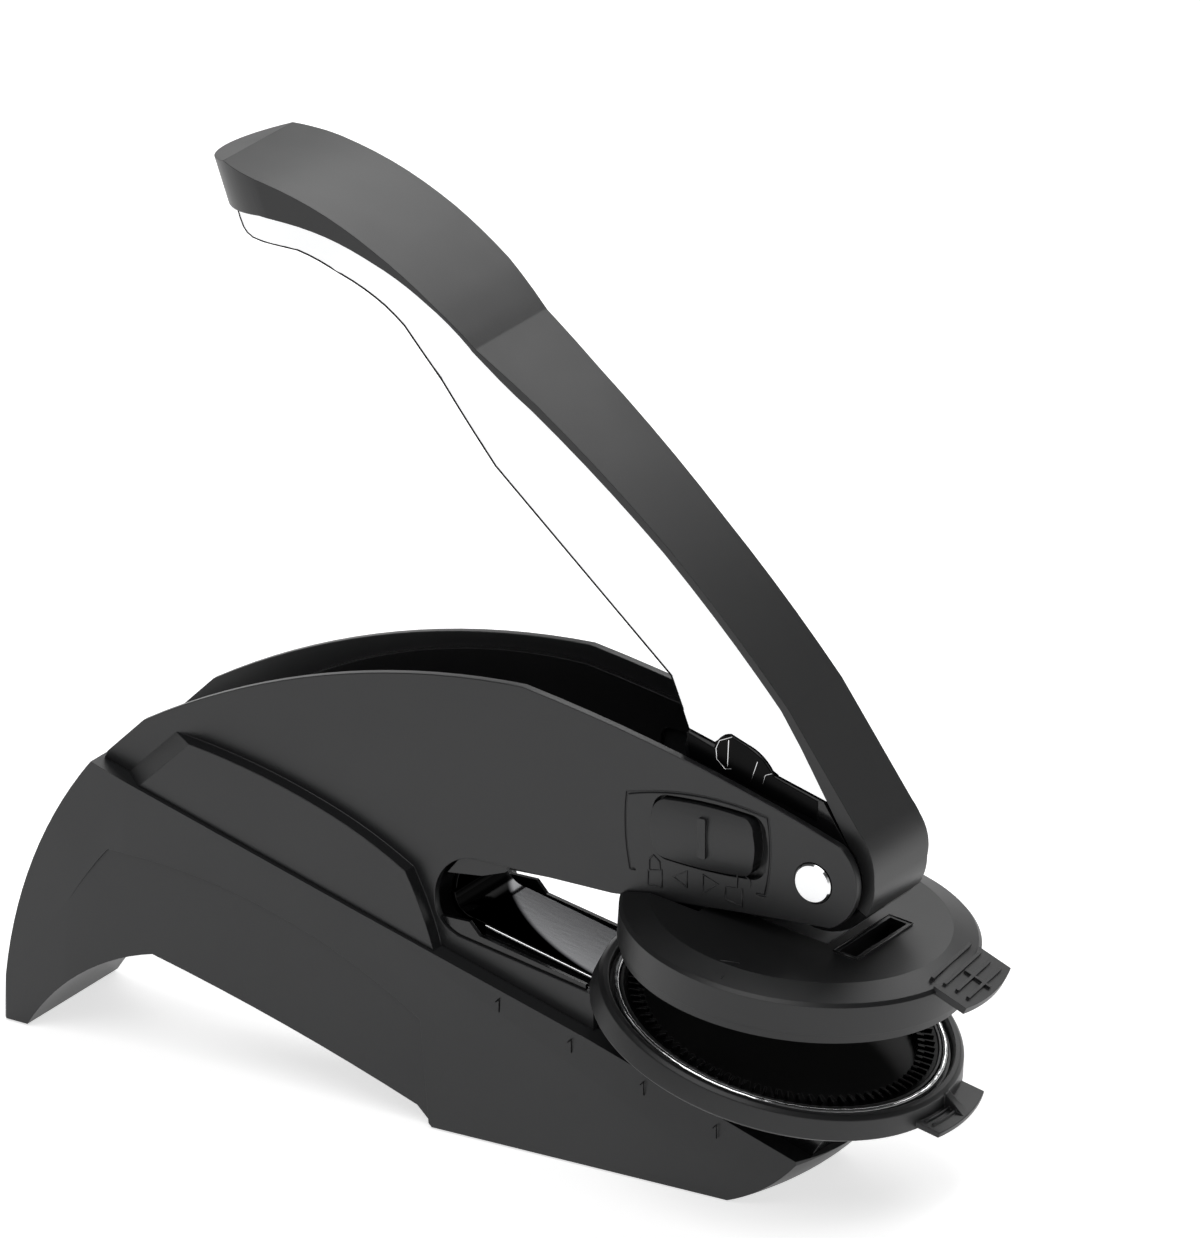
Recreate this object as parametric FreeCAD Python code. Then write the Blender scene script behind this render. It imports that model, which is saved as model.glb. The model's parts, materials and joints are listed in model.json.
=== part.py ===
import FreeCAD, Part
import math
import os

from FreeCAD import Vector

# Desk seal embosser. Millimetres, +X towards the dies, +Y to the left, +Z up, standing on Z = 0.
# A side outline is given as (x, z) points. A step of one point is a straight run, and a step of
# two points is an arc through the first point to the second.

# ---- driving dimensions ----
BASE_HALF_WIDTH = 13.05
REAR_FOOT_HALF_WIDTH = 11.9
BASE_SLOPE = 16.3            # fall of the base's top plane towards the nose, degrees
BASE_TOP_REAR = (-63.3, 44.5)
DECK_REAR = 20.5             # ahead of here the base's top falls a little steeper
DECK_FALL = 0.326
NOSE_TOP = 57.3              # how far forward the base reaches at its top and at its toe
NOSE_TOE = 47.1
BASE_WALL = 2.2
PAD_PROUD = 0.3              # rubber pads stand this far below the plastic
TICK_PITCH = 12.17           # half an inch along the slope
COVER_OUTER = 10.0           # side covers' outer faces, from the middle plane
COVER_WALL = 1.3
PLATE_THICKNESS = 1.0
RIVET_RADIUS = 1.6
NAME_PANEL_RAISE = 2.3
PANEL_RAMP = 4.0             # length of the slope at the name panel's rear end

PIVOT_X = 56.56
PIVOT_Z = 51.08
PIN_RADIUS = 2.4
PIN_HEAD_RADIUS = 2.98
PIN_RUNNING_GAP = 0.05
HUB_HALF_WIDTH = 7.15
HUB_RADIUS = 8.6
NOSE_REACH = 17.5            # pivot to the centre of the pressing nose
NOSE_RADIUS = 3.0
NOSE_DROP_ANGLE = 10.0       # the nose's centre below the pivot's level, degrees
SPRING_ROOM = 5.3
SPRING_MEAN = 4.2
SPRING_WIRE = 0.5
SPRING_TURNS = 5

GRIP_HALF_WIDTH = 11.0
ARM_HALF_WIDTH = 7.35
TRIM_HALF_WIDTH = 7.0
TRIM_INSET = 0.3             # the trim's sides stand this far inside the grip's
TRIM_WALL = 1.2
CORE_HALF_WIDTH = 5.2
CAP_THICKNESS = 2.0
GRIP_TIP = (-42.4, 141.2)
END_AXIS_X = -35.6           # the grip's round end turns about a leaning line through here
END_RADIUS = 13.1
END_LEAN = Vector(-0.335, 0, 0.942)
BEND_TOP = (0.3, 120.5)
ARM_TOP = (50.9, 75.4)
ARM_FOOT = (62.5, 59.3)

LEAF_HALF_WIDTH = 6.9
LEAF_THICKNESS = 0.8
LEAF_BEND = (-1.6, 35.2)     # centre of the leaf's bend at the back of the throat
LEAF_BEND_RADIUS = 3.6

UPPER_X = 48.6               # middle of the upper holder's rim plane
UPPER_Z = 39.9
UPPER_TILT = 7.5
UPPER_RADIUS = 26.1
UPPER_HEIGHT = 6.35
PLATEAU_RADIUS = 21.8
PLATEAU_RISE = 1.5
PAD_SINK = 0.8               # the steel pad under the nose lies this deep in the plateau
LOWER_X = 45.6               # middle of the lower holder's rim plane
LOWER_Z = 25.35
LOWER_TILT = 16.3
LOWER_RADIUS = 26.8
LOWER_HEIGHT = 4.4
TAB_TURN = 6.4               # the finger tabs are turned this far to the left, degrees
TAB_REACH = 31.0
TAB_HALF_WIDTH = 7.75

DIE_FLOOR = -3.4             # seat of the lower die, below the lower holder's rim plane
DIE_RADIUS = 23.2
TOOTH_ROOT_RADIUS = 22.6
TOOTH_TIP_RADIUS = 20.2
TOOTH_COUNT = 84
RING_RADIUS = 24.3
RING_WIRE = 0.5
RING_SEAT = -1.3

BUTTON_RANGE = (30.4, 47.1)  # the lock button's rear and front ends
BUTTON_HEIGHTS = (49.8, 58.9)
BUTTON_GAP = 0.4
LOCK_TRAVEL = 1.2

TINY = 0.05                  # least gap between pieces that seat on one another
WIDE = 30.0                  # beyond the machine's sides

os.makedirs("parts", exist_ok=True)


def outline_face(start, steps):
    """A flat face in the plane y = 0 from a start point and its runs and arcs."""
    edges = []
    here = Vector(start[0], 0, start[1])
    for step in steps:
        if isinstance(step[0], tuple):
            middle = Vector(step[0][0], 0, step[0][1])
            there = Vector(step[1][0], 0, step[1][1])
            edges.append(Part.Arc(here, middle, there).toShape())
        else:
            there = Vector(step[0], 0, step[1])
            edges.append(Part.LineSegment(here, there).toShape())
        here = there
    first = Vector(start[0], 0, start[1])
    if here.distanceToPoint(first) > 1e-6:
        edges.append(Part.LineSegment(here, first).toShape())
    return Part.Face(Part.Wire(edges))


def slab(face, y_low, y_high):
    """A side face made solid between two distances from the middle plane."""
    moved = face.copy()
    moved.translate(Vector(0, y_low, 0))
    return moved.extrude(Vector(0, y_high - y_low, 0))


def side_slab(start, steps, y_low, y_high):
    return slab(outline_face(start, steps), y_low, y_high)


def block(x_low, x_high, y_low, y_high, z_low, z_high):
    corner = Vector(x_low, y_low, z_low)
    return Part.makeBox(x_high - x_low, y_high - y_low, z_high - z_low, corner)


def cross_cylinder(x, z, radius, y_low, y_high):
    """A round bar across the machine."""
    return Part.makeCylinder(radius, y_high - y_low, Vector(x, y_low, z), Vector(0, 1, 0))


def mirrored(shape):
    """The same piece on the other side of the middle plane."""
    return shape.mirror(Vector(0, 0, 0), Vector(0, 1, 0))


def both_sides(shape):
    return shape.fuse(mirrored(shape))


def turned(points):
    """A round solid about Z from its (radius, height) points."""
    corners = [Vector(radius, 0, height) for radius, height in points]
    wire = Part.makePolygon(corners + [corners[0]])
    return Part.Face(wire).revolve(Vector(0, 0, 0), Vector(0, 0, 1), 360)


def tipped(shape, x, z, tilt):
    """Sets a shape made about the origin on a plane that falls towards +X."""
    placed = shape.copy()
    placed.rotate(Vector(0, 0, 0), Vector(0, 1, 0), tilt)
    placed.translate(Vector(x, 0, z))
    return placed


def plan_prism(corners, z_low, z_high):
    """An upright prism on (x, y) corners."""
    points = [Vector(x, y, z_low) for x, y in corners]
    face = Part.Face(Part.makePolygon(points + [points[0]]))
    return face.extrude(Vector(0, 0, z_high - z_low))


def beyond_plane(first, second, third, outward, reach):
    """A thick wall on the outward side of the plane through three points."""
    normal = (second - first).cross(third - first).normalize()
    if normal.dot(outward) < 0:
        normal = -normal
    side = 200.0
    wall = Part.makePlane(side, side, Vector(0, 0, 0), normal)
    wall.translate(first - wall.CenterOfMass)
    return wall.extrude(normal * reach)


def rounded_block(x_low, x_high, y_low, y_high, z_low, z_high, radius):
    """A block with the four edges that run across the machine rounded."""
    solid = block(x_low, x_high, y_low, y_high, z_low, z_high)
    edges = [edge for edge in solid.Edges if abs(edge.tangentAt(edge.FirstParameter).y) > 0.9]
    return solid.makeFillet(radius, edges)


def base_top(x):
    """Height of the base's sloping top plane."""
    return BASE_TOP_REAR[1] - math.tan(math.radians(BASE_SLOPE)) * (x - BASE_TOP_REAR[0])


def deck(x):
    """Height of the base's top, which falls steeper under the lower holder."""
    if x <= DECK_REAR:
        return base_top(x)
    return base_top(DECK_REAR) - DECK_FALL * (x - DECK_REAR)


def export(name, shape):
    shape = shape.removeSplitter() if len(shape.Solids) == 1 else shape
    shape.exportStep("parts/" + name + ".step")
    print(name, "solids", len(shape.Solids), "valid", shape.isValid(), "volume", round(shape.Volume, 1))


# ---- base ----
def base_outline():
    return outline_face((-63.9, base_top(-63.9)), [
        (DECK_REAR, deck(DECK_REAR)),
        (62, deck(62)),
        (62, PAD_PROUD),
        (-5.5, PAD_PROUD),
        (-8.3, 3.0),
        ((-28.0, 9.6), (-53.7, 16.5)),
        ((-67.6, 9.6), (-75.9, PAD_PROUD)),
        (-80.2, PAD_PROUD),
        ((-75.1, 25.5), (-63.9, base_top(-63.9))),
    ])


def nose_round():
    """The chin: its curved profile is swept about an upright line, so that it is round in plan too."""
    axis = 15.0
    profile = outline_face((axis, PAD_PROUD), [
        (NOSE_TOE, PAD_PROUD),
        ((53.6, 4.2), (NOSE_TOP, deck(NOSE_TOP))),
        (NOSE_TOP, 60),
        (axis, 60),
    ])
    chin = profile.revolve(Vector(axis, 0, 0), Vector(0, 0, 1), 360)
    return chin.fuse(block(-90, axis, -WIDE, WIDE, PAD_PROUD, 60))


def base_plan():
    rear = -80.9
    return plan_prism([
        (rear, -REAR_FOOT_HALF_WIDTH + 1.2), (rear + 1.2, -REAR_FOOT_HALF_WIDTH),
        (-58, -BASE_HALF_WIDTH), (80, -BASE_HALF_WIDTH), (80, BASE_HALF_WIDTH),
        (-58, BASE_HALF_WIDTH), (rear + 1.2, REAR_FOOT_HALF_WIDTH),
        (rear, REAR_FOOT_HALF_WIDTH - 1.2),
    ], -5, 60)


def base_side_recess():
    """The shallow panel pressed into each flank above the arch."""
    depth = 0.55
    face = outline_face((-77.5, -2), [
        ((-72.3, 14.0), (-61.0, 31.6)),
        ((-36.0, 28.9), (-7.4, 16.7)),
        (-5.8, -2),
    ])
    return both_sides(slab(face, -BASE_HALF_WIDTH - 1, -BASE_HALF_WIDTH + depth))


def base_hollow():
    """The moulding is open below: a hollow over the arch and one over the front foot."""
    half = BASE_HALF_WIDTH - BASE_WALL
    roof = BASE_WALL / math.cos(math.radians(BASE_SLOPE))
    arch = side_slab((-56, -2), [
        (-56, base_top(-56) - roof - 9), (-50, base_top(-50) - roof), (-8, base_top(-8) - roof), (-8, -2),
    ], -half, half)
    foot = side_slab((-5, -2), [
        (-5, base_top(-5) - roof), (40, deck(40) - roof), (40, -2),
    ], -half, half)
    return arch.fuse(foot)


def base_ribs():
    half = BASE_HALF_WIDTH - BASE_WALL + TINY
    ribs = []
    for x in (-42.0, -26.0):
        foot = 12.6 if x < -35 else 9.6
        ribs.append(block(x, x + 1.6, -half, half, foot, base_top(x) - 1.5))
    return ribs


def plate_slots():
    slot = side_slab((-57, 50), [(-57, 0), (39, 0), (39, 50)],
                     -COVER_OUTER + COVER_WALL - TINY, -COVER_OUTER + COVER_WALL + PLATE_THICKNESS + TINY)
    return both_sides(slot)


def edge_ticks():
    """Guide marks for the paper's edge, cut into each flank near the top: an upright with a short flag."""
    first = 5.9
    ticks = []
    for step in range(4):
        x = first + TICK_PITCH * step
        foot = deck(x) - 3.35
        mark = outline_face((x, foot), [
            (x + 0.2, foot), (x + 0.2, foot + 2.2), (x - 0.55, foot + 1.5), (x, foot + 1.8),
        ])
        ticks.append(slab(mark, -BASE_HALF_WIDTH - 1, -BASE_HALF_WIDTH + 0.3))
    return Part.makeCompound(ticks + [mirrored(tick) for tick in ticks])


def nose_facet():
    """What a faint facet takes off the right flank, from a slanting crease up to the top edge."""
    crease_rear = Vector(14.0, -BASE_HALF_WIDTH, 17.2)
    crease_front = Vector(38.1, -BASE_HALF_WIDTH, 6.7)
    rim = Vector(38.1, -BASE_HALF_WIDTH + 0.5, base_top(38.1))
    return beyond_plane(crease_rear, crease_front, rim, Vector(0, -1, 0), 5.0)


def make_base_shell():
    body = slab(base_outline(), -BASE_HALF_WIDTH, BASE_HALF_WIDTH)
    body = body.common(nose_round()).common(base_plan())
    body = body.cut(base_hollow())
    for rib in base_ribs():
        body = body.fuse(rib)
    body = body.cut(plate_slots()).cut(base_side_recess()).cut(edge_ticks())
    body = body.cut(both_sides(nose_facet()))
    body = body.cut(rear_pad_shape(TINY))
    return body


def rear_pad_shape(grow=0.0):
    return block(-79.4 - grow, -76.7 + grow, -8.5 - grow, 8.5 + grow, 0, 1.2 + grow)


def make_base_plate():
    """Closes the front foot from below and carries its rubber pad."""
    half = BASE_HALF_WIDTH - BASE_WALL - TINY
    plate = block(-4.9, 39.9, -half, half, PAD_PROUD + 0.3, 2.4)
    plate = plate.cut(front_pad_shape(TINY))
    for x, y in base_screw_places():
        plate = plate.cut(base_screw(x, y, TINY))
    return plate


def front_pad_shape(grow=0.0):
    return block(2 - grow, 34 + grow, -8 - grow, 8 + grow, 0, 1.4 + grow)


def base_screw_places():
    return [(x, y) for x in (-1.2, 37.0) for y in (-7.5, 7.5)]


def base_screw(x, y, grow=0.0):
    low = PAD_PROUD + 0.3
    head = Part.makeCylinder(2.2 + grow, 1.0 + grow, Vector(x, y, low))
    shank = Part.makeCylinder(1.0 + grow, 3.0, Vector(x, y, low))
    return head.fuse(shank)


def make_base_screws():
    slot_half = 0.3
    screws = []
    for x, y in base_screw_places():
        slot = block(x - 1.5, x + 1.5, y - slot_half, y + slot_half, 0, PAD_PROUD + 0.7)
        screws.append(base_screw(x, y).cut(slot))
    return Part.makeCompound(screws)


# ---- frame ----
def plate_outline():
    return outline_face((-56.5, 43.9), [
        ((-22.0, 63.8), (8.0, 68.2)),
        ((34.0, 63.2), (59.0, 56.4)),
        ((62.4, 51.6), (58.2, 46.3)),
        (44.0, 45.4),
        (23.0, 44.6),
        (0.5, 43.6),
        ((-6.4, 40.2), (-8.0, 34.4)),
        ((-6.6, 30.2), (-1.4, base_top(-1.4) - 0.3)),
        (DECK_REAR, deck(DECK_REAR) - 0.3),
        (38.6, deck(38.6) - 0.3),
        (38.6, 6.0),
        (-5.0, 18.0),
        (-30.0, 26.0),
        (-56.5, 38.0),
    ])


def lock_cutout():
    """The hole in each frame plate where the lock's slider runs."""
    return rounded_block(20.5, 53.0, -30, 30, 45.9, 61.2, 1.5)


def frame_rivet_places():
    return [(-46.0, 45.5), (-20.0, 50.0), (4.0, 50.5), (20.0, 12.5)]


def make_frame_plate():
    outer = -COVER_OUTER + COVER_WALL
    plate = slab(plate_outline(), outer, outer + PLATE_THICKNESS)
    plate = plate.cut(lock_cutout())
    plate = plate.cut(cross_cylinder(PIVOT_X, PIVOT_Z, PIN_RADIUS, -WIDE, WIDE))
    for x, z in frame_rivet_places():
        plate = plate.cut(cross_cylinder(x, z, RIVET_RADIUS, -WIDE, WIDE))
    return plate


def make_frame_rivets():
    reach = COVER_OUTER - COVER_WALL
    return Part.makeCompound([cross_cylinder(x, z, RIVET_RADIUS, -reach, reach)
                              for x, z in frame_rivet_places()])


def make_inner_body():
    """The moulded block between the frame plates: it floors the handle's channel and backs the throat."""
    half = COVER_OUTER - COVER_WALL - PLATE_THICKNESS - TINY
    body = side_slab((-56.0, base_top(-56.0)), [
        (-56.0, 45.2),
        ((-24.0, 55.6), (10.0, 54.0)),
        (15.0, 51.0),
        (15.0, 44.8),
        (1.0, 43.8),
        ((-6.2, 40.4), (-7.8, 34.6)),
        ((-6.3, 30.4), (-1.0, base_top(-1.0))),
    ], -half, half)
    for x, z in frame_rivet_places():
        body = body.cut(cross_cylinder(x, z, RIVET_RADIUS, -WIDE, WIDE))
    return body


# ---- side covers ----
def cover_outline():
    """The cover's side view: the long back, the round pivot end, the throat and a low arm below it."""
    return outline_face((-63.3, base_top(-63.3)), [
        (-62.8, 45.6),
        (-56.5, 51.8),
        ((-22.7, 66.2), (8.1, 70.8)),
        ((34.5, 65.5), (61.0, 57.5)),
        ((63.85, 51.2), (59.4, 44.7)),
        ((44.5, 43.9), (23.1, 42.15)),
        (-0.2, 42.35),
        ((-5.2, 39.7), (-6.7, 34.5)),
        ((-5.5, 31.4), (-2.1, bed_top(-2.1))),
        (20.0, bed_top(20.0)),
        (20.0, base_top(20.0)),
    ])


def name_panel_face():
    """The bare raised panel that sits on the base's edge, nearly flush with the base's flank."""
    return outline_face((-63.0, base_top(-63.0)), [
        (-52.5, 51.4),
        ((-38.5, 49.4), (-25.2, 45.8)),
        ((-17.3, 42.7), (-10.3, 39.0)),
        ((-7.6, 33.4), (-5.6, base_top(-5.6))),
    ])


def panel_ramp():
    """The room behind the sloping rear end of the name panel."""
    low = Vector(-59.6, -COVER_OUTER, 42.6)
    high = Vector(-51.6, -COVER_OUTER, 50.4)
    raised = Vector(low.x + PANEL_RAMP, low.y - NAME_PANEL_RAISE, low.z)
    return beyond_plane(low, high, raised, Vector(-1, 0, 0), 12.0)


def button_face(grow=0.0, ahead=0.0):
    """Barrel outline of the lock button; the window is the same shape, larger and longer ahead."""
    rear, front = BUTTON_RANGE[0] - grow, BUTTON_RANGE[1] + grow + ahead
    low, high = BUTTON_HEIGHTS[0] - grow, BUTTON_HEIGHTS[1] + grow
    corner = 2.2 + grow
    slant = 0.29 * corner
    return outline_face((rear, low + corner), [
        ((rear - 0.35, (low + high) / 2), (rear, high - corner)),
        ((rear + slant, high - slant), (rear + corner, high)),
        (((rear + front) / 2, high + 0.3), (front - corner, high)),
        ((front - slant, high - slant), (front, high - corner)),
        ((front + 0.35, (low + high) / 2), (front, low + corner)),
        ((front - slant, low + slant), (front - corner, low)),
        (((rear + front) / 2, low - 0.3), (rear + corner, low)),
        ((rear + slant, low + slant), (rear, low + corner)),
    ])


def button_window():
    return slab(button_face(BUTTON_GAP, LOCK_TRAVEL), -WIDE, WIDE)


def window_frame_face(inset):
    """Outline of the frame line round the lock's window, drawn in by an inset."""
    rear, front, foot = 25.3 + inset, 49.6 - inset, 46.6 + inset
    top_rear, top_front = 58.4 - inset, 59.6 - inset
    return outline_face((rear + 0.8, foot), [
        ((rear, 52.5), (rear + 0.2, top_rear)),
        (((rear + front) / 2, 60.5 - inset), (front - 0.4, top_front)),
        ((front, 54.0), (front - 0.8, foot + 0.6)),
    ])


def window_frame_groove():
    """The thin line moulded round three sides of the lock's window, with a short return at each foot."""
    depth = 0.25
    width = 0.3
    line = slab(window_frame_face(0.0), -COVER_OUTER - 1, -COVER_OUTER + depth)
    line = line.cut(slab(window_frame_face(width), -WIDE, WIDE))
    return line.cut(block(27.1, 47.2, -WIDE, WIDE, 40, 49))


def make_side_cover():
    cover = slab(cover_outline(), -COVER_OUTER, -COVER_OUTER + COVER_WALL)
    face = -COVER_OUTER
    raised = slab(name_panel_face(), face - NAME_PANEL_RAISE, face + TINY).cut(panel_ramp())
    cover = cover.fuse(raised)
    below_base = side_slab((-90, base_top(-90)), [(90, base_top(90)), (90, -20), (-90, -20)], -WIDE, WIDE)
    cover = cover.cut(below_base).cut(button_window()).cut(window_frame_groove())
    cover = cover.cut(cross_cylinder(PIVOT_X, PIVOT_Z, PIN_HEAD_RADIUS + 0.12, -WIDE, WIDE))
    return cover


def make_pivot_pin():
    reach = COVER_OUTER + 0.35
    seat = COVER_OUTER - COVER_WALL
    rim = 0.25
    pin = cross_cylinder(PIVOT_X, PIVOT_Z, PIN_RADIUS, -reach + 0.5, reach - 0.5)
    head = cross_cylinder(PIVOT_X, PIVOT_Z, PIN_HEAD_RADIUS, -reach + rim, -seat)
    face = Part.makeCone(PIN_HEAD_RADIUS, PIN_HEAD_RADIUS - rim, rim,
                         Vector(PIVOT_X, -reach + rim, PIVOT_Z), Vector(0, -1, 0))
    return pin.fuse(both_sides(head.fuse(face)))


def make_pin_washers():
    outer = COVER_OUTER - COVER_WALL - PLATE_THICKNESS
    ring = cross_cylinder(PIVOT_X, PIVOT_Z, 4.2, -outer, -outer + 0.35)
    ring = ring.cut(cross_cylinder(PIVOT_X, PIVOT_Z, PIN_RADIUS + 0.1, -WIDE, WIDE))
    return Part.makeCompound([ring, mirrored(ring)])


# ---- lower half of the clip and its bed ----
def lower_floor(x):
    """Height of the lower holder's underside plane."""
    tilt = math.radians(LOWER_TILT)
    return (LOWER_Z - LOWER_HEIGHT * math.cos(tilt)
            - math.tan(tilt) * (x - LOWER_X + LOWER_HEIGHT * math.sin(tilt)))


def bed_top(x):
    """Height of the bed's rails in the throat."""
    return 29.3 - 0.178 * (x + 0.5)


def leaf_top(x):
    """Height of the leaf's upper face over the bed."""
    return 31.3 - 0.2304 * (x + 0.5)


def strip_between(x_rear, x_front, lower, upper, half):
    """A solid between two sloping planes, given as heights over x."""
    return side_slab((x_rear, lower(x_rear)), [
        (x_rear, upper(x_rear)), (x_front, upper(x_front)), (x_front, lower(x_front)),
    ], -half, half)


def leaf_seat(x):
    return leaf_top(x) - LEAF_THICKNESS - TINY


def make_lower_bed():
    """Rails beside the leaf in the throat, its seat between them, and a saddle under the lower holder."""
    rail_half = COVER_OUTER - COVER_WALL
    rear, joint, front = -0.4, 20.0, 61.0
    bed = strip_between(rear, joint, base_top, bed_top, rail_half)
    bed = bed.fuse(strip_between(rear, joint, base_top, leaf_seat, LEAF_HALF_WIDTH - 0.5))
    saddle = side_slab((joint + TINY, base_top(joint + TINY)), [
        (joint + TINY, bed_top(joint)), (21.5, lower_floor(21.5)), (front, lower_floor(front)),
        (front - 5.0, deck(front - 5.0)), (DECK_REAR, deck(DECK_REAR)),
    ], -9.0, 9.0)
    bed = bed.fuse(strip_between(joint - 1, joint + 1, base_top, bed_top, rail_half)).fuse(saddle)
    leaf_end = 27.0
    over_leaf = side_slab((-3, leaf_seat(-3)), [
        (leaf_end, leaf_seat(leaf_end)), (leaf_end, 50), (-3, 50),
    ], -LEAF_HALF_WIDTH - 0.3, LEAF_HALF_WIDTH + 0.3)
    bed = bed.cut(over_leaf)
    groove = side_slab((-2, bed_top(-2) - 0.4), [
        (19.5, bed_top(19.5) - 0.4), (19.5, 50), (-2, 50),
    ], -rail_half + 0.6, -rail_half + 0.95)
    return bed.cut(both_sides(groove))


def bend_band(centre, radius, thickness, start, end):
    """Side face of a round bend between two angles, in degrees from +X."""
    outer = radius + thickness

    def at(reach, angle):
        turn = math.radians(angle)
        return (centre[0] + reach * math.cos(turn), centre[1] + reach * math.sin(turn))

    middle = (start + end) / 2
    return outline_face(at(radius, start), [
        (at(radius, middle), at(radius, end)),
        at(outer, end),
        (at(outer, middle), at(outer, start)),
    ])


def make_clip_leaf_lower():
    """The lower half of the leaf: flat over the bed, then up round half of the bend."""
    bend_low = LEAF_BEND[1] - LEAF_BEND_RADIUS
    run = outline_face((26.0, leaf_top(26.0) - LEAF_THICKNESS), [
        (26.0, leaf_top(26.0)),
        (LEAF_BEND[0], bend_low),
        (LEAF_BEND[0], bend_low - LEAF_THICKNESS),
        (0.0, leaf_top(0.0) - LEAF_THICKNESS),
    ])
    bend = bend_band(LEAF_BEND, LEAF_BEND_RADIUS, LEAF_THICKNESS, 270, 183)
    return slab(run, -LEAF_HALF_WIDTH, LEAF_HALF_WIDTH).fuse(slab(bend, -LEAF_HALF_WIDTH, LEAF_HALF_WIDTH))


def make_clip_leaf_upper():
    """The upper half of the leaf: the other half of the bend, then forward to the upper holder."""
    half = 6.5
    top = LEAF_BEND[1] + LEAF_BEND_RADIUS
    front = UPPER_X - 24.5
    bend = bend_band(LEAF_BEND, LEAF_BEND_RADIUS, LEAF_THICKNESS, 90, 177)
    run = outline_face((LEAF_BEND[0], top), [
        (front, top + 0.9),
        (front, top + 0.9 + LEAF_THICKNESS),
        (LEAF_BEND[0], top + LEAF_THICKNESS),
    ])
    strip = slab(run, -half, half).fuse(slab(bend, -half, half))
    return strip.cut(tipped(turned(upper_holder_outline()), UPPER_X, UPPER_Z, UPPER_TILT))


def finger_tab(z_low, z_high):
    """A flat finger tab at the front of a holder: straight sides and a front edge round the middle."""
    strip = block(20, TAB_REACH + 3, -TAB_HALF_WIDTH, TAB_HALF_WIDTH, z_low, z_high)
    return strip.common(Part.makeCylinder(TAB_REACH, z_high - z_low, Vector(0, 0, z_low)))


def outside(radius):
    """Cuts a holder's round body out of what is joined on at its front."""
    return Part.makeCylinder(radius, 40, Vector(0, 0, -20))


def turned_tab(tab):
    """Turns a tab about the holder's axis to where it stands."""
    placed = tab.copy()
    placed.rotate(Vector(0, 0, 0), Vector(0, 0, 1), TAB_TURN)
    return placed


def lower_tab():
    """The lower finger tab: a thin plate with a web in the middle and two low ribs beside it."""
    top = -2.4
    thick = 0.9
    tab = finger_tab(top - thick, top)
    web_end = TAB_REACH - 0.3
    web = outline_face((24, top - 0.8), [(web_end, top - 0.8), (web_end, top), (27.2, -0.5), (24, -0.5)])
    tab = tab.fuse(slab(web, -0.75, 0.75))
    for reach in (28.1, 29.2):
        arc = Part.makeCylinder(reach + 0.2, 0.5, Vector(0, 0, top - 0.1))
        arc = arc.cut(Part.makeCylinder(reach - 0.2, 0.5, Vector(0, 0, top - 0.1)))
        tab = tab.fuse(arc.common(block(20, 40, -TAB_HALF_WIDTH + 1.0, -0.5, -4, 0)))
    return turned_tab(tab)


def make_clip_lower():
    """The lower holder: a round tray with a seat for the bright ring and one for the die."""
    ring_out = RING_RADIUS + RING_WIRE + 0.4
    ring_in = RING_RADIUS - RING_WIRE - 0.1
    die_seat = DIE_RADIUS + TINY
    holder = turned([
        (0, -LOWER_HEIGHT), (26.4, -LOWER_HEIGHT), (27.6, -3.5), (LOWER_RADIUS + 0.2, -0.5), (26.4, 0),
        (ring_out + 0.4, 0), (ring_out, RING_SEAT), (ring_in, RING_SEAT), (ring_in, -0.5),
        (die_seat, -0.5), (die_seat, DIE_FLOOR), (0, DIE_FLOOR),
    ])
    holder = holder.fuse(lower_tab().cut(outside(26.2)))
    return tipped(holder, LOWER_X, LOWER_Z, LOWER_TILT)


def make_retaining_ring():
    """A ring of six-sided wire that lies in the groove of the lower holder."""
    height = RING_SEAT + TINY + RING_WIRE * math.cos(math.radians(30))
    corners = [math.radians(60 * step) for step in range(6)]
    ring = turned([(RING_RADIUS + RING_WIRE * math.cos(turn), height + RING_WIRE * math.sin(turn))
                   for turn in corners])
    return tipped(ring, LOWER_X, LOWER_Z, LOWER_TILT)


def toothed_ring(outer, root, tip, count, z_low, z_high):
    """A flat crown with teeth that point inwards."""
    step = 2 * math.pi / count
    corners = []
    for index in range(count):
        for share, reach in ((0.0, root), (0.22, tip), (0.52, tip), (0.74, root)):
            turn = step * (index + share)
            corners.append(Vector(reach * math.cos(turn), reach * math.sin(turn), z_low))
    inside = Part.Face(Part.makePolygon(corners + [corners[0]])).extrude(Vector(0, 0, z_high - z_low))
    return Part.makeCylinder(outer, z_high - z_low, Vector(0, 0, z_low)).cut(inside)


def make_die_lower():
    """The lower die: a round plate with a crown of teeth round the seal's face."""
    face = DIE_FLOOR + 1.0
    plate = Part.makeCylinder(DIE_RADIUS, face - DIE_FLOOR, Vector(0, 0, DIE_FLOOR))
    crown = toothed_ring(DIE_RADIUS, TOOTH_ROOT_RADIUS, TOOTH_TIP_RADIUS, TOOTH_COUNT, face, face + 1.7)
    return tipped(plate.fuse(crown), LOWER_X, LOWER_Z, LOWER_TILT)


# ---- upper half of the clip ----
def upper_holder_outline():
    """Half section of the upper holder: plateau, sloping rim, wall, and the die's seat below."""
    bottom = -UPPER_HEIGHT
    return [
        (0, PLATEAU_RISE), (PLATEAU_RADIUS, PLATEAU_RISE), (25.6, 0.2), (UPPER_RADIUS, -0.3),
        (25.85, -4.9), (25.4, -5.1), (25.3, bottom), (23.0, bottom), (22.4, bottom + 0.7),
        (22.4, -4.0), (0, -4.0),
    ]


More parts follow.
